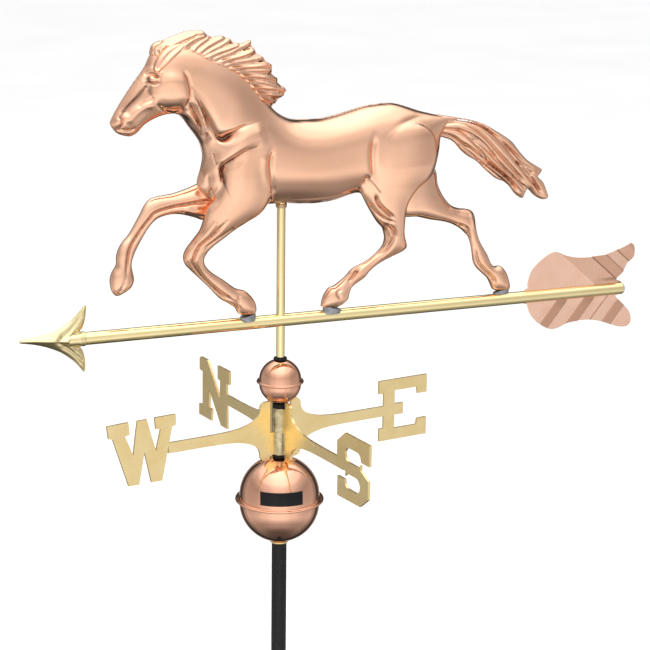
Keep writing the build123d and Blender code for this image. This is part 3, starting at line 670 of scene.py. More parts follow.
# Locks of the mane: root, middle and tip, then half width at the root
MANE_LOCKS = [
    ([(-161, 329), (-164, 338), (-161, 346), (-153, 350)], 2.6),
    ([(-157, 330), (-158, 340), (-154, 347)], 2.2),
    ([(-151, 332), (-153, 340), (-148, 346), (-139, 350)], 2.8),
    ([(-147, 333), (-144, 339), (-134, 346)], 2.4),
    ([(-145, 336), (-142, 345), (-128, 353), (-112, 358)], 5.0),
    ([(-152, 343), (-137, 352), (-120, 358), (-99, 359)], 5.0),
    ([(-130, 338), (-122, 347), (-111, 354), (-99, 356)], 5.0),
    ([(-118, 334), (-108, 346), (-95, 353)], 5.0),
    ([(-114, 332), (-97, 345), (-76, 353)], 5.0),
    ([(-110, 330), (-90, 341), (-67, 350)], 5.0),
    ([(-107, 328), (-84, 337), (-57, 343)], 5.0),
    ([(-100, 325), (-71, 335), (-42, 346)], 5.5),
    ([(-92, 322), (-62, 330), (-37, 336)], 5.0),
    ([(-86, 318), (-53, 325), (-26, 327)], 5.0),
    ([(-80, 315), (-46, 318), (-15, 318)], 5.0),
    ([(-72, 311), (-39, 313), (-14, 311)], 4.5),
    ([(-66, 306), (-35, 306), (-9, 300)], 5.0),
    ([(-60, 300), (-32, 299), (-5, 292)], 5.0),
    ([(-54, 293), (-26, 292), (4, 287)], 5.0),
    ([(-49, 288), (-24, 284), (1, 280)], 4.5),
    ([(-44, 283), (-28, 277), (-8, 271)], 5.0),
    ([(-38, 277), (-25, 269), (-13, 263)], 5.0),
]
MANE = [
    (-158, 327), (-166, 337), (-163, 348), (-152, 353), (-138, 357), (-123, 362), (-112, 363),
    (-101, 363), (-96, 358), (-85, 355), (-77, 355), (-68, 352), (-60, 347), (-52, 345),
    (-44, 348), (-40, 349), (-38, 342), (-33, 334), (-24, 327), (-17, 320), (-12, 316),
    (-13, 309), (-6, 301), (-4, 295), (3, 290), (5, 284), (1, 278), (-9, 271), (-14, 265),
    (-14, 260), (-24, 268), (-36, 278), (-46, 290), (-60, 305), (-74, 314), (-90, 320),
    (-108, 329), (-118, 335), (-130, 337), (-146, 334),
]
EAR = [(-157, 318), (-150, 327), (-139, 338), (-124, 350)]

CAMERA = Vector((-0.9199, -2.4029, 1.29625))
DETAIL = 1.2
LEG_TOP_Y = 24.0
LEG_HALF = 8.0                  # about half a leg's depth
SHIN_RATIO = 0.86               # depth over width
BODY_RATIO, HEAD_FLATTER = 0.66, 0.06
LEAN_BAND = (40.0, 190.0)       # heights between which the legs lean in to the arrow's line


def leg_depth(side, foot_y):
    """Y of a leg's centre plane by height: out at the shoulder, in at the hoof."""
    def at(z):
        t = np.clip((z - LEAN_BAND[0]) / (LEAN_BAND[1] - LEAN_BAND[0]), 0, 1)
        return side * (foot_y + (LEG_TOP_Y - foot_y) * t)
    return at


def sight_shift(points, depth_at):
    """Carry points drawn on the centre plane along the line of sight to their own depth."""
    eye = np.array((CAMERA.x, CAMERA.z - ARROW_Z)) / MM
    far = -CAMERA.y / MM
    points = np.array(points, float)
    scale = (far + depth_at(points[:, 1])) / far
    return eye + (points - eye) * scale[:, None]


def leg_ratio(z, thigh):
    """Depth over width: nearly round shins, flatter where the leg spreads over the body."""
    return SHIN_RATIO + (thigh - SHIN_RATIO) * smoothstep(95, 165, z)


horse_grid = Field((-224, 372), (6, 372), DETAIL)


def on_skin(points, height):
    """Carry points drawn on the centre plane to where they are seen on a skin's near side."""
    points = np.array(points, float)
    near = look_up(horse_grid, height, points[:, 0], points[:, 1])
    return sight_shift(points, lambda z: -near)


# Marks on trunk, neck and head: line, width, depth (a ridge has a negative depth)
BODY_GROOVES = [
    ([(-158, 279), (-150, 270), (-138, 266), (-124, 269)], 2.5, 1.6),            # under the cheek
    ([(-163, 300), (-177, 284), (-192, 272), (-198, 265)], 5.5, 4.2),            # hollow beside the nose
    ([(-168, 309), (-184, 291), (-201, 269)], 3.5, -1.6),
    ([(-157, 276), (-174, 275), (-187, 265), (-194, 255)], 4.5, -2.2),
    ([(-158, 285), (-168, 281), (-180, 273)], 2.2, 1.6),
    ([(-171, 311), (-166, 313), (-158, 312), (-153, 307)], 1.7, 2.6),            # upper eyelid
    ([(-170, 305), (-164, 301), (-157, 301), (-152, 304)], 1.6, 2.2),            # lower eyelid
    ([(-170, 318), (-160, 318), (-150, 311)], 3.0, -1.5),                        # brow
    ([(-204, 264), (-200, 262), (-200, 255), (-203, 250)], 1.7, 3.2),            # nostril
    ([(-208, 250), (-199, 249), (-191, 248), (-184, 251)], 1.5, 2.2),            # mouth
    ([(-124, 268), (-106, 246), (-97, 222)], 3.0, -3.0),                         # throat
    ([(-118, 278), (-107, 257), (-98, 230)], 2.2, 3.6),
    ([(-111, 283), (-101, 259), (-95, 234)], 2.4, -3.0),
    ([(-86, 200), (-66, 213), (-44, 229), (-20, 238)], 10.0, -4.5),               # shoulder band
    ([(-85, 214), (-84, 207), (-81, 199)], 1.6, 2.6),                            # chest
    ([(-91, 190), (-92, 170), (-91, 150)], 2.6, 3.2),
    ([(-12, 214), (-15, 190), (-12, 160)], 3.2, 3.4),                            # behind the upper arm
    ([(-21, 210), (-23, 188), (-20, 160)], 4.5, -2.0),
    ([(124, 224), (120, 200), (122, 172), (126, 150)], 4.0, 4.0),                # front of the thigh
    ([(95, 156), (60, 150), (20, 150), (-20, 152)], 2.0, -1.6),                  # belly seam
]
# Sharp valleys: line, width, depth, how much its right side swells, how far, and fade at the ends
BODY_CREASES = [
    ([(-124, 317), (-119, 306), (-116, 294), (-117, 281), (-123, 269)], 1.8, 3.2, 1.4, 10, 0.2),
    ([(-24, 252), (-48, 245), (-61, 237), (-73, 229), (-84, 237), (-92, 252), (-103, 274),
      (-116, 298)], 2.2, 4.0, 4.0, 20, 0.35),
    ([(-20, 220), (-46, 214), (-60, 206), (-73, 197), (-75, 180), (-72, 150)], 2.4, 5.0, 2.5, 14, 0.4),
    ([(200, 240), (190, 243), (178, 243), (163, 237), (142, 224)], 3.0, 1.4, 1.2, 14, 0.4),
    ([(103, 160), (113, 172), (124, 150)], 2.0, 4.5, 1.5, 8, 0.2),
]
# Swellings: centre, radii, turn in degrees, height, sharpness
BODY_DOMES = [
    ((-138, 291), (19, 21), 20, 4.5, 2.0),          # cheek
    ((-162, 306.5), (5, 3.2), -10, 2.8, 1.5),       # eye
    ((-203, 259), (6, 7), -40, 2.6, 1.0),           # nostril
    ((-70, 232), (12, 6), 20, -5.5, 1.0),           # pocket before the shoulder
    ((-66, 197), (16, 5), 35, -4.0, 1.0),           # hollow over the upper arm
    ((-46, 182), (22, 26), 0, 2.5, 1.0),            # upper arm
    ((162, 196), (34, 34), 0, 2.0, 1.0),            # thigh
    ((-82, 174), (7, 26), 0, 2.5, 1.0),             # breast
    ((40, 180), (55, 26), 0, 2.0, 1.0),             # barrel
]
# Painted shade: a line, its half width and how dark it is
BODY_SHADES = [
    ([(-202, 265), (-193, 277), (-180, 288), (-167, 300)], 3.6, 0.8),     # beside the nose
    ([(-163, 311), (-166, 307), (-163, 301)], 1.6, 0.9),                  # before the eye
    ([(-162, 301), (-164, 292), (-161, 286)], 2.2, 0.6),                  # below the eye
    ([(-79, 235), (-71, 230), (-60, 236)], 2.6, 1.0),                     # pocket
    ([(-113, 295), (-101, 276), (-89, 252), (-79, 236)], 4.5, 0.45),      # along the neck
    ([(-73, 199), (-67, 202), (-58, 208)], 2.4, 1.0),                     # over the upper arm
    ([(-74, 199), (-74, 188), (-73, 176)], 1.8, 0.9),                     # before the upper arm
    ([(-96, 215), (-97, 200), (-96, 186)], 4.0, 0.35),                    # breast
    ([(-114, 265), (-106, 250), (-100, 232)], 1.5, 0.4),                  # throat
    ([(-74, 146), (-62, 142), (-55, 138)], 1.4, 0.8),                     # under the upper arm
]


def shade_map(height):
    """Painted shade in the body's hollows, 0 to 1."""
    shade = np.zeros(horse_grid.x.shape)
    for points, width, dark in BODY_SHADES:
        distance, along, _ = horse_grid.near_line(on_skin(points, height))
        ends = 0.25 + 0.75 * smoothstep(0, 0.3, along) * smoothstep(0, 0.3, 1 - along)
        shade = np.maximum(shade, dark * np.exp(-((distance / (width * ends)) ** 2)))
    return shade


def body_map():
    """Trunk, neck and head with their muscles and the marks of the face."""
    g = horse_grid
    height2, distance = g.inflate(smooth_line(BODY, closed=True, steps=4), 1.0)
    ratio = BODY_RATIO - HEAD_FLATTER * smoothstep(-60, -130, g.x)
    height2 = height2 * np.where(height2 > 0, ratio**2, 1)
    height = np.sqrt(np.maximum(height2, 0))
    relief = np.zeros(g.x.shape)
    for points, width, depth in BODY_GROOVES:
        relief += groove(g, on_skin(points, height), width, depth)
    for points, *shape in BODY_CREASES:
        relief += crease(g, on_skin(points, height), *shape)
    for centre, *shape in BODY_DOMES:
        relief += dome(g, on_skin([centre], height)[0], *shape)
    return with_relief(height2, distance, relief)


def leg_map(outline, depth_at, thigh, marks, hoof):
    """A leg with its tendons and hoof, and the Y of its centre plane."""
    g = horse_grid
    carried = sight_shift(outline, depth_at)
    height2, distance = g.inflate(smooth_line(carried, closed=True, steps=4), 1.0)
    height2 = height2 * np.where(height2 > 0, leg_ratio(g.z, thigh) ** 2, 1)
    relief = dome(g, hoof, (13, 12), 0, 0.8)
    for points, width, depth in marks:
        on_leg = sight_shift(points, lambda z: depth_at(z) - LEG_HALF)
        relief = relief + groove(g, on_leg, width, depth)
    return with_relief(height2, distance, relief, 3.5), depth_at(g.z)


# Outline, depth, thigh's ratio, marks (line, width, depth) and the middle of the hoof
LEGS = {
    "foreleg_left": (FORELEG_NEAR, leg_depth(-1, 4), 0.62, [
        ([(-73, 132), (-91, 114), (-107, 101), (-113, 88), (-112, 78), (-97, 58), (-79, 41),
          (-60, 29)], 1.9, 3.6),
        ([(-60, 124), (-85, 109), (-102, 98)], 2.0, 2.2),
        ([(-54, 36), (-57, 26), (-53, 17)], 1.6, 2.4),
        ([(-84, 134), (-97, 118), (-112, 104)], 2.6, -1.6),
    ], (-44, 22)),
    "hindleg_left": (HINDLEG_NEAR, leg_depth(-1, 4), 0.46, [
        ([(123, 150), (129, 136), (147, 119)], 2.0, 3.6),
        ([(116, 139), (131, 122), (148, 114)], 2.0, 2.6),
        ([(135, 116), (147, 103), (149, 92), (140, 78), (126, 70), (104, 56), (90, 41)], 2.0, 3.0),
        ([(104, 54), (91, 41)], 1.6, 2.6),
        ([(82, 33), (75, 28), (79, 21)], 1.6, 2.2),
    ], (68, 22)),
    "foreleg_right": (FORELEG_FAR, leg_depth(1, 10), 0.66, [
        ([(-88, 158), (-115, 156), (-142, 152), (-160, 147), (-168, 139), (-180, 124), (-192, 106),
          (-195, 94), (-197, 78), (-199, 68)], 2.0, 4.0),
        ([(-76, 143), (-92, 141), (-112, 145), (-129, 150)], 2.4, -2.2),
        ([(-199, 68), (-203, 58), (-205, 52)], 1.8, 1.6),
    ], (-203, 64)),
    "hindleg_right": (HINDLEG_FAR, leg_depth(1, 4), 0.55, [
        ([(222, 124), (253, 119), (258, 110), (262, 94)], 2.0, -1.6),
        ([(236, 104), (252, 97), (257, 80), (263, 60)], 2.0, 2.0),
        ([(264, 74), (269, 55), (277, 43), (292, 28), (294, 18)], 1.9, 3.2),
    ], (302, 24)),
}
LEG_JOIN = 5.0                  # how softly a leg runs into the body
SEAM_GAP = 0.15
HALF_DEPTHS = (-8, 46)          # reach of a horse half's grid: past its seam, and out
HAIR_DEPTHS = (-3, 34)


def crop(field, height_maps, x_range, z_range):
    """The part of a grid and of its maps inside a window."""
    i = slice(*np.searchsorted(field.xs, x_range))
    k = slice(*np.searchsorted(field.zs, z_range))
    part = Field.__new__(Field)
    part.step, part.xs, part.zs = field.step, field.xs[i], field.zs[k]
    part.x, part.z = field.x[i, k], field.z[i, k]
    return part, [m[i, k] for m in height_maps]


def layers(side, depths):
    """Y of the grid's layers for one half."""
    ys = np.arange(depths[0], depths[1] + DETAIL, DETAIL)
    return -ys[::-1] if side < 0 else ys


def past_seam(side, ys):
    """Field that is positive on the far side of the seam."""
    return (SEAM_GAP - side * ys[None, :, None]).astype(np.float32)


def make_horse_half(side, body, legs):
    """One stamped half: its share of trunk, neck and head, and the two legs on its side."""
    word = "left" if side < 0 else "right"
    names = [name for name in LEGS if name.endswith(word)]
    maps = [body] + [legs[name][0] for name in names] + [legs[name][1] for name in names]
    # painted shade along the listed lines on the body
    maps.append(shade_map(np.sqrt(np.maximum(body, 0))))
    outline = np.vstack([BODY] + [LEGS[name][0] for name in names])
    low, high = outline.min(0) - 6, outline.max(0) + 6
    low[0] -= 8
    high[0] += 8
    grid, maps = crop(horse_grid, maps, (low[0], high[0]), (low[1], high[1]))
    ys = layers(side, HALF_DEPTHS)
    whole = skin_field(grid, maps[0], ys)
    leg_fields = [skin_field(grid, maps[1 + i], ys, maps[3 + i]) for i in range(2)]
    for leg in leg_fields:
        whole = join(whole, leg, LEG_JOIN)
    half = np.maximum(whole, past_seam(side, ys))
    for leg in leg_fields:
        half = np.minimum(half, leg)
    nodes = [f"horse_body_{word}"]
    for name in names:
        nodes += [f"{name}_left_shell", f"{name}_right_shell"]
    # painted shade: from the depth of the body's creases and the listed body shades, then from the legs'
    # creases
    shade_strength = np.maximum(crease_shade_map(maps[0], grid), maps[5])
    for leg in maps[1:3]:
        shade_strength = np.where(leg > 0, np.where(leg > maps[0], crease_shade_map(leg, grid), shade_strength), shade_strength)
    sculpted(f"horse_{word}_half", half, grid, ys, MIRROR_COPPER, nodes, sharp=60,
             hollow=shade_strength)


STRANDS = 2.0


def lock_ridge(field, points, width, height):
    """Relief of one lock of hair: rounded, finely grooved and tapering to its tip."""
    distance, along, side = field.near_line(points)
    taper = width * (1 - 0.45 * along**1.6) * (0.6 + 0.4 * smoothstep(0, 0.25, along))
    t = np.maximum(1 - (distance / taper) ** 2, 0)
    ripple = 0.8 + 0.2 * np.cos(side * distance / taper * math.pi * STRANDS)
    return height * np.sqrt(t) * ripple * smoothstep(0, 0.3, along)


def make_hair(side, name, height2, x_range, z_range, node):
    """Half of the mane or the tail from its height map."""
    grid, maps = crop(horse_grid, [height2], x_range, z_range)
    ys = layers(side, HAIR_DEPTHS)
    values = np.maximum(skin_field(grid, maps[0], ys), past_seam(side, ys))
    # painted shade in the grooves and between the locks
    sculpted(name, values, grid, ys, MIRROR_COPPER, [node], sharp=60, passes=2,
             hollow=crease_shade_map(maps[0], grid, 2.0))


def mane_map(neck):
    """The mane: a soft mass over the crest of the neck, combed into overlapping locks."""
    g = horse_grid
    inside = g.inside_distance(smooth_line(MANE, closed=True, steps=4))
    mass = np.maximum(neck + 1.0, 9.5 * smoothstep(-2, 15, inside))
    mass = blur(mass, round((9 / g.step) ** 2 / 2))
    locks = np.zeros(g.x.shape)
    for i, (points, width) in enumerate(MANE_LOCKS):
        line = on_skin(points, neck * 0.8)
        locks = np.maximum(locks, lock_ridge(g, line, width + 1.2, 6.0 - 1.2 * (i % 2)))
    height = mass * (0.35 + 0.65 * smoothstep(0, 5, inside)) - 2.0 + locks
    skin = np.maximum(height, 0.7) ** 2 * smoothstep(0, 1.5, inside)
    return np.where(inside > 0, skin, inside * 20)


def tail_map():
    """The tail: one mass of hair with long grooves."""
    g = horse_grid
    height2, inside = g.inflate(smooth_line(TAIL, closed=True, steps=4), 0.5)
    hair = np.zeros(g.x.shape)
    for points in TAIL_LOCKS:
        hair += groove(g, on_skin(points, np.full(g.x.shape, 8.0)), 1.7, 3.0, fade=0.1)
    return with_relief(height2, inside, hair, 2.5)


def ear_map(neck):
    """A pinned-back ear: a leaf with a hollow down its middle, lying on the head."""
    g = horse_grid
    distance, along, _ = g.near_line(on_skin(EAR, neck))
    width = 6.8 * np.sin(math.pi * np.clip(0.12 + 0.86 * along, 0, 1)) ** 0.8 + 0.3
    t = 1 - (distance / width) ** 2
    hollow = 3.0 * np.exp(-((distance / width) / 0.36) ** 2)
    return np.where(t > 0, (neck + 6.5 * np.sqrt(np.maximum(t, 0)) - hollow) ** 2, t * 60)


def make_horse():
    body = body_map()
    legs = {name: leg_map(*facts) for name, facts in LEGS.items()}
    neck = np.sqrt(np.maximum(body, 0))
    mane, tail, ear = mane_map(neck), tail_map(), ear_map(neck)
    for side, word in ((-1, "left"), (1, "right")):
        make_horse_half(side, body, legs)
        make_hair(side, f"mane_locks_{word}", mane, (-176, 14), (250, 372), f"mane_{word}")
        make_hair(side, f"tail_locks_{word}", tail, (184, 372), (118, 254), f"tail_{word}")
        make_hair(side, f"ear_leaf_{word}", ear, (-176, -112), (300, 362), f"ear_{word}")


make_horse()


# ---- turned parts --------------------------------------------------------------------------
def span(node):
    """Lowest and highest Z, and the outer radius, of a CAD node on the spin axis."""
    low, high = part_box(node)
    return low.z, high.z, max(high.x, high.y)


def turn_upright(node, finish, body, inner, edge):
    """A plain ring or tube about the spin axis, with rounded edges."""
    low, high, outer = span(node)
    profile = ring_profile(inner, outer, low, high, edge)
    lathe(f"{node}_turned", profile, finish, body, node)


POLE_BORE = 6.35 * MM
ROD_BORE = 6.45 * MM            # static parts slide over the rod
PIVOT_BORE = 3.6 * MM
TUBE_BORE = 4.25 * MM
FERRULE_BORE = 5.26 * MM
turn_upright("steel_pole", POLE_PAINT, "mast", POLE_BORE, 0.6 * MM)
for ring in ("lower_rubber_ring", "upper_rubber_ring"):
    turn_upright(ring, RUBBER, "mast", ROD_BORE, 1.8 * MM)
turn_upright("top_rubber_washer", RUBBER, "mast", PIVOT_BORE, 1.2 * MM)
turn_upright("spindle_tube", POLISHED_BRASS, "vane", TUBE_BORE, 0.3 * MM)
turn_upright("belly_ferrule", BRONZE, "vane", FERRULE_BORE, 0.8 * MM)

COLLAR_LOW, COLLAR_HIGH, COLLAR_R = span("pole_collar")
lathe("pole_collar_turned",
      [(ROD_BORE, COLLAR_LOW), (COLLAR_R - 2.4 * MM, COLLAR_LOW),
       (COLLAR_R - 1.4 * MM, COLLAR_LOW + 0.5 * MM)]
      + arc((COLLAR_R - 1.3 * MM, COLLAR_HIGH - 2.0 * MM), 1.3 * MM, -40, 90, 8)
      + [(COLLAR_R - 2.2 * MM, COLLAR_HIGH), (ROD_BORE, COLLAR_HIGH)],
      POLISHED_BRASS, "mast", "pole_collar")


GLOBE_SHEET = 0.8 * MM
BEAD_R = 1.35 * MM              # the lower half's edge, rolled round the upper half's flange
BEAD_LIFT = 0.1 * MM
FLARE_R = 1.6 * MM              # hollow corner between a half's skin and its rim


def make_globe(name, radius, skirt, upper_flange):
    """Both spun halves of a globe, with the lower half's bead folded round the upper's flange."""
    lip = span(f"{name}_lower")[2]
    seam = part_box(f"{name}_upper")[0].z
    inner = radius - GLOBE_SHEET
    hole = math.degrees(math.acos(ROD_BORE / radius))
    inner_hole = math.degrees(math.acos(ROD_BORE / inner))
    bead = [(lip - BEAD_R + BEAD_R * math.cos(a), BEAD_R * math.sin(a) + BEAD_LIFT)
            for a in np.linspace(2.2, -2.0, 20)]
    flange = [(upper_flange - 1.6 * MM, 0.02 * MM), (upper_flange - 1.2 * MM, 0.5 * MM),
              (upper_flange - 1.7 * MM, GLOBE_SHEET)]
    corner_centre = (radius + FLARE_R, GLOBE_SHEET + FLARE_R)
    skin = (arc(corner_centre, FLARE_R, 270, 180, 8) + arc((0, skirt), radius, 0, hole, 72)
            + arc((0, skirt), inner, inner_hole, 0, 72))
    for half, up, rim in (("lower", -1, bead), ("upper", 1, flange)):
        profile = [(inner, seam)] + [(r, seam + z) for r, z in rim]
        profile += [(r, seam + up * z) for r, z in skin]
        lathe(f"{name}_{half}_spun", profile, GLOBE_COPPER, "mast", f"{name}_{half}",
              turns=192)


make_globe("large_globe", 50.8 * MM, 4.7 * MM, 55.0 * MM)
make_globe("small_globe", 26.5 * MM, 2.2 * MM, 28.6 * MM)


def lathe_along_arrow(node, profile, finish):
    """A turned part on the arrow's axis, its profile given as (radius, x)."""
    lathe(f"{node}_turned", profile, finish, "vane", node, (0, 0, ARROW_Z), "X")


SHAFT_BORE = SHAFT_R - 1.0 * MM
SHAFT_EDGE = 0.2 * MM
CAP_ROUND = 4 * MM
lathe_along_arrow("arrow_shaft",
                  ring_profile(SHAFT_BORE, SHAFT_R, SHAFT_LOW.x, SHAFT_HIGH.x, SHAFT_EDGE),
                  POLISHED_BRASS)
CAP_LOW, CAP_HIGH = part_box("shaft_end_cap")
CAP_SHOULDER = [(0, CAP_LOW.x), (SHAFT_BORE, CAP_LOW.x), (SHAFT_BORE, SHAFT_HIGH.x),
                (SHAFT_R, SHAFT_HIGH.x)]
CAP_CORNER = arc((SHAFT_R - CAP_ROUND, CAP_HIGH.x - CAP_ROUND), CAP_ROUND, 0, 90, 10)
lathe_along_arrow("shaft_end_cap", CAP_SHOULDER + CAP_CORNER + [(0, CAP_HIGH.x)],
                  POLISHED_BRASS)
BAND_LOW, BAND_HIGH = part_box("arrow_ferrule")
BAND_R = BAND_HIGH.z - ARROW_Z
BAND_EDGE = 0.8 * MM
lathe_along_arrow("arrow_ferrule", ring_profile(SHAFT_R, BAND_R, BAND_LOW.x, BAND_HIGH.x, BAND_EDGE),
                  HEAD_BRASS)


# ---- compass castings ----------------------------------------------------------------------
FLAT_ANGLE = 0.5                # degrees: faces flatter than this to each other become one
BEVEL_ANGLE = 40
BEVEL_WIDTH = 0.35 * MM
BARREL_REACH = 9.9 * MM         # faces this near the spin axis are the barrel's


def from_cad(name, node, finish, body):
    """The CAD node's own shape with clean flat faces and its cut edges broken."""
    mesh = bpy.data.objects[node].data.copy()
    mesh.name = name
    mesh.materials.clear()
    piece = bpy.data.objects.new(name, mesh)
    bpy.context.scene.collection.objects.link(piece)
    edit = bmesh.new()
    edit.from_mesh(mesh)
    bmesh.ops.remove_doubles(edit, verts=edit.verts, dist=WELD)
    bmesh.ops.dissolve_limit(edit, angle_limit=math.radians(FLAT_ANGLE), verts=edit.verts,
                             edges=edit.edges)
    bmesh.ops.recalc_face_normals(edit, faces=edit.faces)
    edit.to_mesh(mesh)
    edit.free()
    mesh.polygons.foreach_set("use_smooth", [True] * len(mesh.polygons))
    mesh.materials.append(finish)
    rounding = piece.modifiers.new("edges", "BEVEL")
    rounding.width = BEVEL_WIDTH
    rounding.segments = 2
    rounding.limit_method = "ANGLE"
    rounding.angle_limit = math.radians(BEVEL_ANGLE)
    rounding.use_clamp_overlap = True
    sharpen(piece, 30)
    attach(piece, body)
    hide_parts(node)
    return piece


for node in ("directional_east_west", "directional_north_south"):
    casting = from_cad(f"{node}_casting", node, SATIN_BRASS, "mast")
    casting.data.materials.append(CAST_BRASS)
    for face in casting.data.polygons:
        centre = casting.matrix_world @ face.center
        if centre.xy.length < BARREL_REACH:
            face.material_index = 1


# ---- arrow head ----------------------------------------------------------------------------
HEAD = [
    (-330, 3.4), (-327, 6), (-318, 7), (-308, 8.6), (-298, 10.2), (-288, 13), (-278, 17),
    (-269, 22), (-261, 29), (-254, 37), (-249, 41.5), (-247.5, 39), (-248, 30), (-250, 20),
    (-253, 13), (-255.5, 9.5), (-255.5, 0), (-255.5, -9.2), (-253, -13), (-250.5, -21),
    (-249.5, -30), (-250, -38), (-252, -41), (-256, -36.5), (-263, -28), (-271, -21),
    (-280, -14.5), (-290, -9.5), (-300, -5.5), (-312, -2), (-322, 0), (-329, 1.4),
]


# Grooves of the head: line, width, depth
HEAD_GROOVES = [
    ([(-283, 4), (-271, 10), (-262, 19), (-252, 31)], 2.6, 2.4),
    ([(-281, -4), (-269, -11), (-260, -20), (-252, -31)], 2.6, 2.4),
    ([(-287, 1), (-272, 5), (-257, 12)], 2.2, 1.6),
    ([(-287, 0), (-272, -5), (-257, -12)], 2.2, 1.6),
]


def make_arrow_head():
    """Cast point: a roof-shaped blade that forks into two barbs round a conical socket."""
    step = 0.5
    g = Field((-336, -243), (-46, 47), step)
    inside = g.inside_distance(smooth_line(HEAD, closed=True, steps=3))
    slope = 0.78 - 0.30 * smoothstep(-300, -268, g.x)
    roof = 0.9 + slope * blur(np.clip(inside, 0, 20), 2) - 0.9 * smoothstep(4, 0, inside)
    for mark in HEAD_GROOVES:
        roof += groove(g, *mark)
    roof = np.maximum(roof, 0.5)
    radius = 0.6 + 8.6 * np.clip((g.x + 286) / 30, 0, 1)
    height2 = np.where(inside > 0, np.maximum(roof**2, radius**2 - g.z**2), inside * 6)
    ys = np.arange(-12, 12 + step, step)
    sculpted("arrow_head_cast", skin_field(g, height2, ys), g, ys, HEAD_BRASS,
             ["arrow_head"], sharp=50, passes=2)


make_arrow_head()


# ---- tail fins -----------------------------------------------------------------------------
FIN_HALF = 0.45                 # half the sheet's thickness
FIN_UPPER = [
    (341, 20), (345, 33), (353, 42.5), (364, 51), (375, 56.5), (383, 56), (396, 50.5), (412, 47),
    (432, 46.5), (455, 48), (472, 53), (485, 58.5), (490, 60.5), (494.5, 57), (496, 50),
    (495, 41), (487, 33), (481, 23), (471, 13), (470, 7.4), (342, 7.4), (341, 12),
]
FIN_LOWER = [
    (342, -14), (346, -24), (355, -34), (366, -42), (377, -46.5), (388, -46), (402, -40.5),
    (418, -38.5), (440, -40), (460, -46), (475, -51.5), (487, -53.5), (494, -51), (496.5, -44),
    (493, -33), (483, -22), (471, -10), (470, -7.4), (342, -7.4), (341, -10),
]
# Painted shade bands: where each one starts and ends across the fin, and how dark it is
SHADE_BANDS_UPPER = [(449, 485, 0.45), (485, 488, 1.0), (488, 509, 0.7), (529, 532, 1.0), (532, 560, 0.6)]
SHADE_BANDS_LOWER = [(391, 407, 0.85), (431, 447, 0.85), (465, 467, 1.0), (486, 503, 0.8)]
# Pleats: place across the fin and height of the fold, which rises slowly and drops sharply
PLEATS_UPPER = [
    (420, 0), (448, 0.3), (485, 2.6), (487, 0), (508, 1.8), (510, 0), (529, -0.8), (531, 0),
    (552, 1.9),
]
PLEATS_LOWER = [
    (380, 0), (391, -0.6), (392, 0), (406, 2.0), (407.5, 0), (431, -1.0), (432, 0), (446, 2.0),
    (447.5, 0), (466, -0.8), (467, 0), (486, -0.8), (487, 0), (502, 1.9), (503.5, 0), (540, -0.8),
]


def make_fin(name, outline, lean, pleats, shade_bands):
    """A thin sheet with low pleats leaning across it, and bands of painted shade across the pleats."""
    step = 0.7
    heights = [z for _, z in outline]
    g = Field((336, 502), (min(heights) - 4, max(heights) + 4), step)
    inside = g.inside_distance(smooth_line(outline, closed=True, steps=4))
    across = g.x + lean * g.z
    fold = np.interp(across, *zip(*pleats)) * smoothstep(0, 9, np.abs(g.z) - 9)
    # painted shade: dark bands across the fin, carried as the mesh attribute
    shade = np.zeros(g.x.shape)
    for start, end, dark in shade_bands:
        shade = np.maximum(shade, dark * ((across > start) & (across < end)))
    ys = np.arange(-3.9, 2.4, 0.3)
    depth = np.abs(ys[None, :, None] + fold[:, None, :]) - FIN_HALF
    solid = np.maximum(depth, -inside[:, None, :]).astype(np.float32)
    sculpted(f"{name}_pleated", solid, g, ys, SATIN_COPPER, [name], sharp=40,
             passes=1, hollow=shade)


make_fin("tail_fin_upper", FIN_UPPER, 1.15, PLEATS_UPPER, SHADE_BANDS_UPPER)
make_fin("tail_fin_lower", FIN_LOWER, -0.8, PLEATS_LOWER, SHADE_BANDS_LOWER)

# ---- CAD parts whose shape is already right --------------------------------------------------
KEPT = {
    "spindle_rod": STEEL, "bearing_ball": STEEL, "guide_bushes": BRONZE, "bearing_plug": POLISHED_BRASS,
    "letter_set_screws": SCREW_STEEL, "globe_label": LABEL, "hoof_solder_pads": SOLDER,
}
for node, finish in KEPT.items():
    for entry in bpy.data.objects[node].material_slots:
        entry.material = finish

# ---- camera --------------------------------------------------------------------------------
PITCH, ROLL = math.radians(15.405), math.radians(0.687)
HEADING = math.radians(22.172)  # from +Y towards +X
LENS, SENSOR = 119.6, 36.0


def make_camera():
    """The camera at the viewing angle: looking down a little and across the arrow."""
    forward = math.cos(PITCH)
    ahead = Vector((math.sin(HEADING) * forward, math.cos(HEADING) * forward, -math.sin(PITCH)))
    level = Vector((math.cos(HEADING), -math.sin(HEADING), 0))
    above = level.cross(ahead)
    right = math.cos(ROLL) * level + math.sin(ROLL) * above
    up = -math.sin(ROLL) * level + math.cos(ROLL) * above
    data = bpy.data.cameras.new("camera")
    data.lens, data.sensor_width = LENS, SENSOR
    camera = bpy.data.objects.new("camera", data)
    axes = Matrix((right, up, -ahead)).transposed()
    camera.matrix_world = Matrix.Translation(CAMERA) @ axes.to_4x4()
    bpy.context.scene.collection.objects.link(camera)
    bpy.context.scene.camera = camera


make_camera()


# ---- floor and light -----------------------------------------------------------------------
FLOOR_REACH = 60.0


def make_floor():
    finish = Finish("studio_floor", (0.9, 0.9, 0.9), 0.0, 0.9)
    finish.color(finish.ramp(finish.noise(2, 2), (0.3, 0.9), (0.7, 0.93)))
    mesh = bpy.data.meshes.new("floor")
    r = FLOOR_REACH
    mesh.from_pydata([(-r, -r, 0), (r, -r, 0), (r, r, 0), (-r, r, 0)], [], [(0, 1, 2, 3)])
    floor = bpy.data.objects.new("floor", mesh)
    mesh.materials.append(finish.material)
    bpy.context.scene.collection.objects.link(floor)
    floor.visible_glossy = False


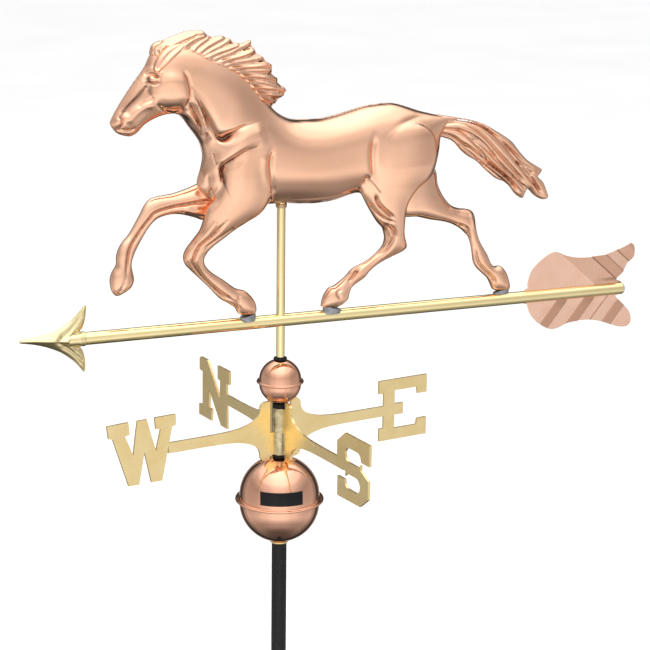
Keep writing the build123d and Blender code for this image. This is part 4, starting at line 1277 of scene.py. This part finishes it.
def softbox(name, place, aim, size, power):
    """A rectangular studio light pointed at a place."""
    data = bpy.data.lights.new(name, "AREA")
    data.shape = "RECTANGLE"
    data.size, data.size_y = size
    data.energy = power
    lamp = bpy.data.objects.new(name, data)
    lamp.location = place
    lamp.visible_glossy = False
    lamp.rotation_euler = (Vector(aim) - Vector(place)).to_track_quat("-Z", "Y").to_euler()
    bpy.context.scene.collection.objects.link(lamp)


# The room that reflections see: brightness from one end of an axis (0) to the other (1)
UP_AXIS = (0, 0, 1)
SIGHT_AXIS = (0.364, 0.893, -0.266)
SIDE_AXIS = (0.926, -0.377, 0)
ROOM_STRENGTH, WHITE_STRENGTH = 1.2, 1.05
SKY_BY_HEIGHT = ((0.0, 0.10), (0.10, 0.40), (0.27, 1.05), (0.42, 0.92), (0.55, 0.86), (0.66, 0.74),
                 (0.78, 0.95), (0.88, 1.45), (1.0, 1.7))
SKY_BY_SIDE = ((0.0, 0.55), (0.2, 0.85), (0.4, 1.05), (0.6, 1.05), (0.8, 0.85), (1.0, 0.55))
SKY_BY_DEPTH = ((0.0, 1.0), (0.66, 0.95), (0.78, 0.5), (0.86, 0.07), (0.93, 0.10), (0.98, 0.5),
                (1.0, 0.6))


def make_light():
    """White all round for the eye and for soft light; for reflections, a room with a dark far end."""
    world = bpy.data.worlds.new("studio")
    bpy.context.scene.world = world
    world.use_nodes = True
    tree = world.node_tree
    nodes, link = tree.nodes, tree.links.new
    plain = nodes["Background"]
    plain.inputs["Color"].default_value = (1, 1, 1, 1)
    plain.inputs["Strength"].default_value = WHITE_STRENGTH
    direction = nodes.new("ShaderNodeTexCoord").outputs["Generated"]

    def share(axis, stops):
        """Brightness as a ramp over the direction's part along an axis, from -1 to 1."""
        dot = nodes.new("ShaderNodeVectorMath")
        dot.operation = "DOT_PRODUCT"
        dot.inputs[1].default_value = axis
        link(direction, dot.inputs[0])
        scaled = nodes.new("ShaderNodeMapRange")
        scaled.inputs["From Min"].default_value = -1
        link(dot.outputs["Value"], scaled.inputs["Value"])
        ramp = nodes.new("ShaderNodeValToRGB")
        ramp.color_ramp.interpolation = "EASE"
        fill_ramp(ramp, stops)
        link(scaled.outputs["Result"], ramp.inputs["Fac"])
        return ramp.outputs["Color"]

    def times(one, other):
        product = nodes.new("ShaderNodeMix")
        product.data_type = "RGBA"
        product.blend_type = "MULTIPLY"
        product.inputs["Factor"].default_value = 1
        link(one, product.inputs[MIX_A])
        link(other, product.inputs[MIX_B])
        return product.outputs[MIX_RESULT]

    room = nodes.new("ShaderNodeBackground")
    room.inputs["Strength"].default_value = ROOM_STRENGTH
    sky = times(share(UP_AXIS, SKY_BY_HEIGHT), share(SIGHT_AXIS, SKY_BY_DEPTH))
    link(times(sky, share(SIDE_AXIS, SKY_BY_SIDE)), room.inputs["Color"])
    choice = nodes.new("ShaderNodeMixShader")
    link(nodes.new("ShaderNodeLightPath").outputs["Is Glossy Ray"], choice.inputs[0])
    link(plain.outputs[0], choice.inputs[1])
    link(room.outputs[0], choice.inputs[2])
    link(choice.outputs[0], nodes["World Output"].inputs["Surface"])
    softbox("key", (-2.2, -1.6, 2.6), (0, 0, 0.7), (1.6, 1.6), 30)
    softbox("fill", (1.9, -2.4, 1.6), (0, 0, 0.7), (0.9, 1.6), 14)
    softbox("top", (0.2, 0.3, 3.2), (0, 0, 0.6), (2.0, 2.0), 25)


make_floor()
make_light()
bpy.context.scene.view_settings.view_transform = "Standard"
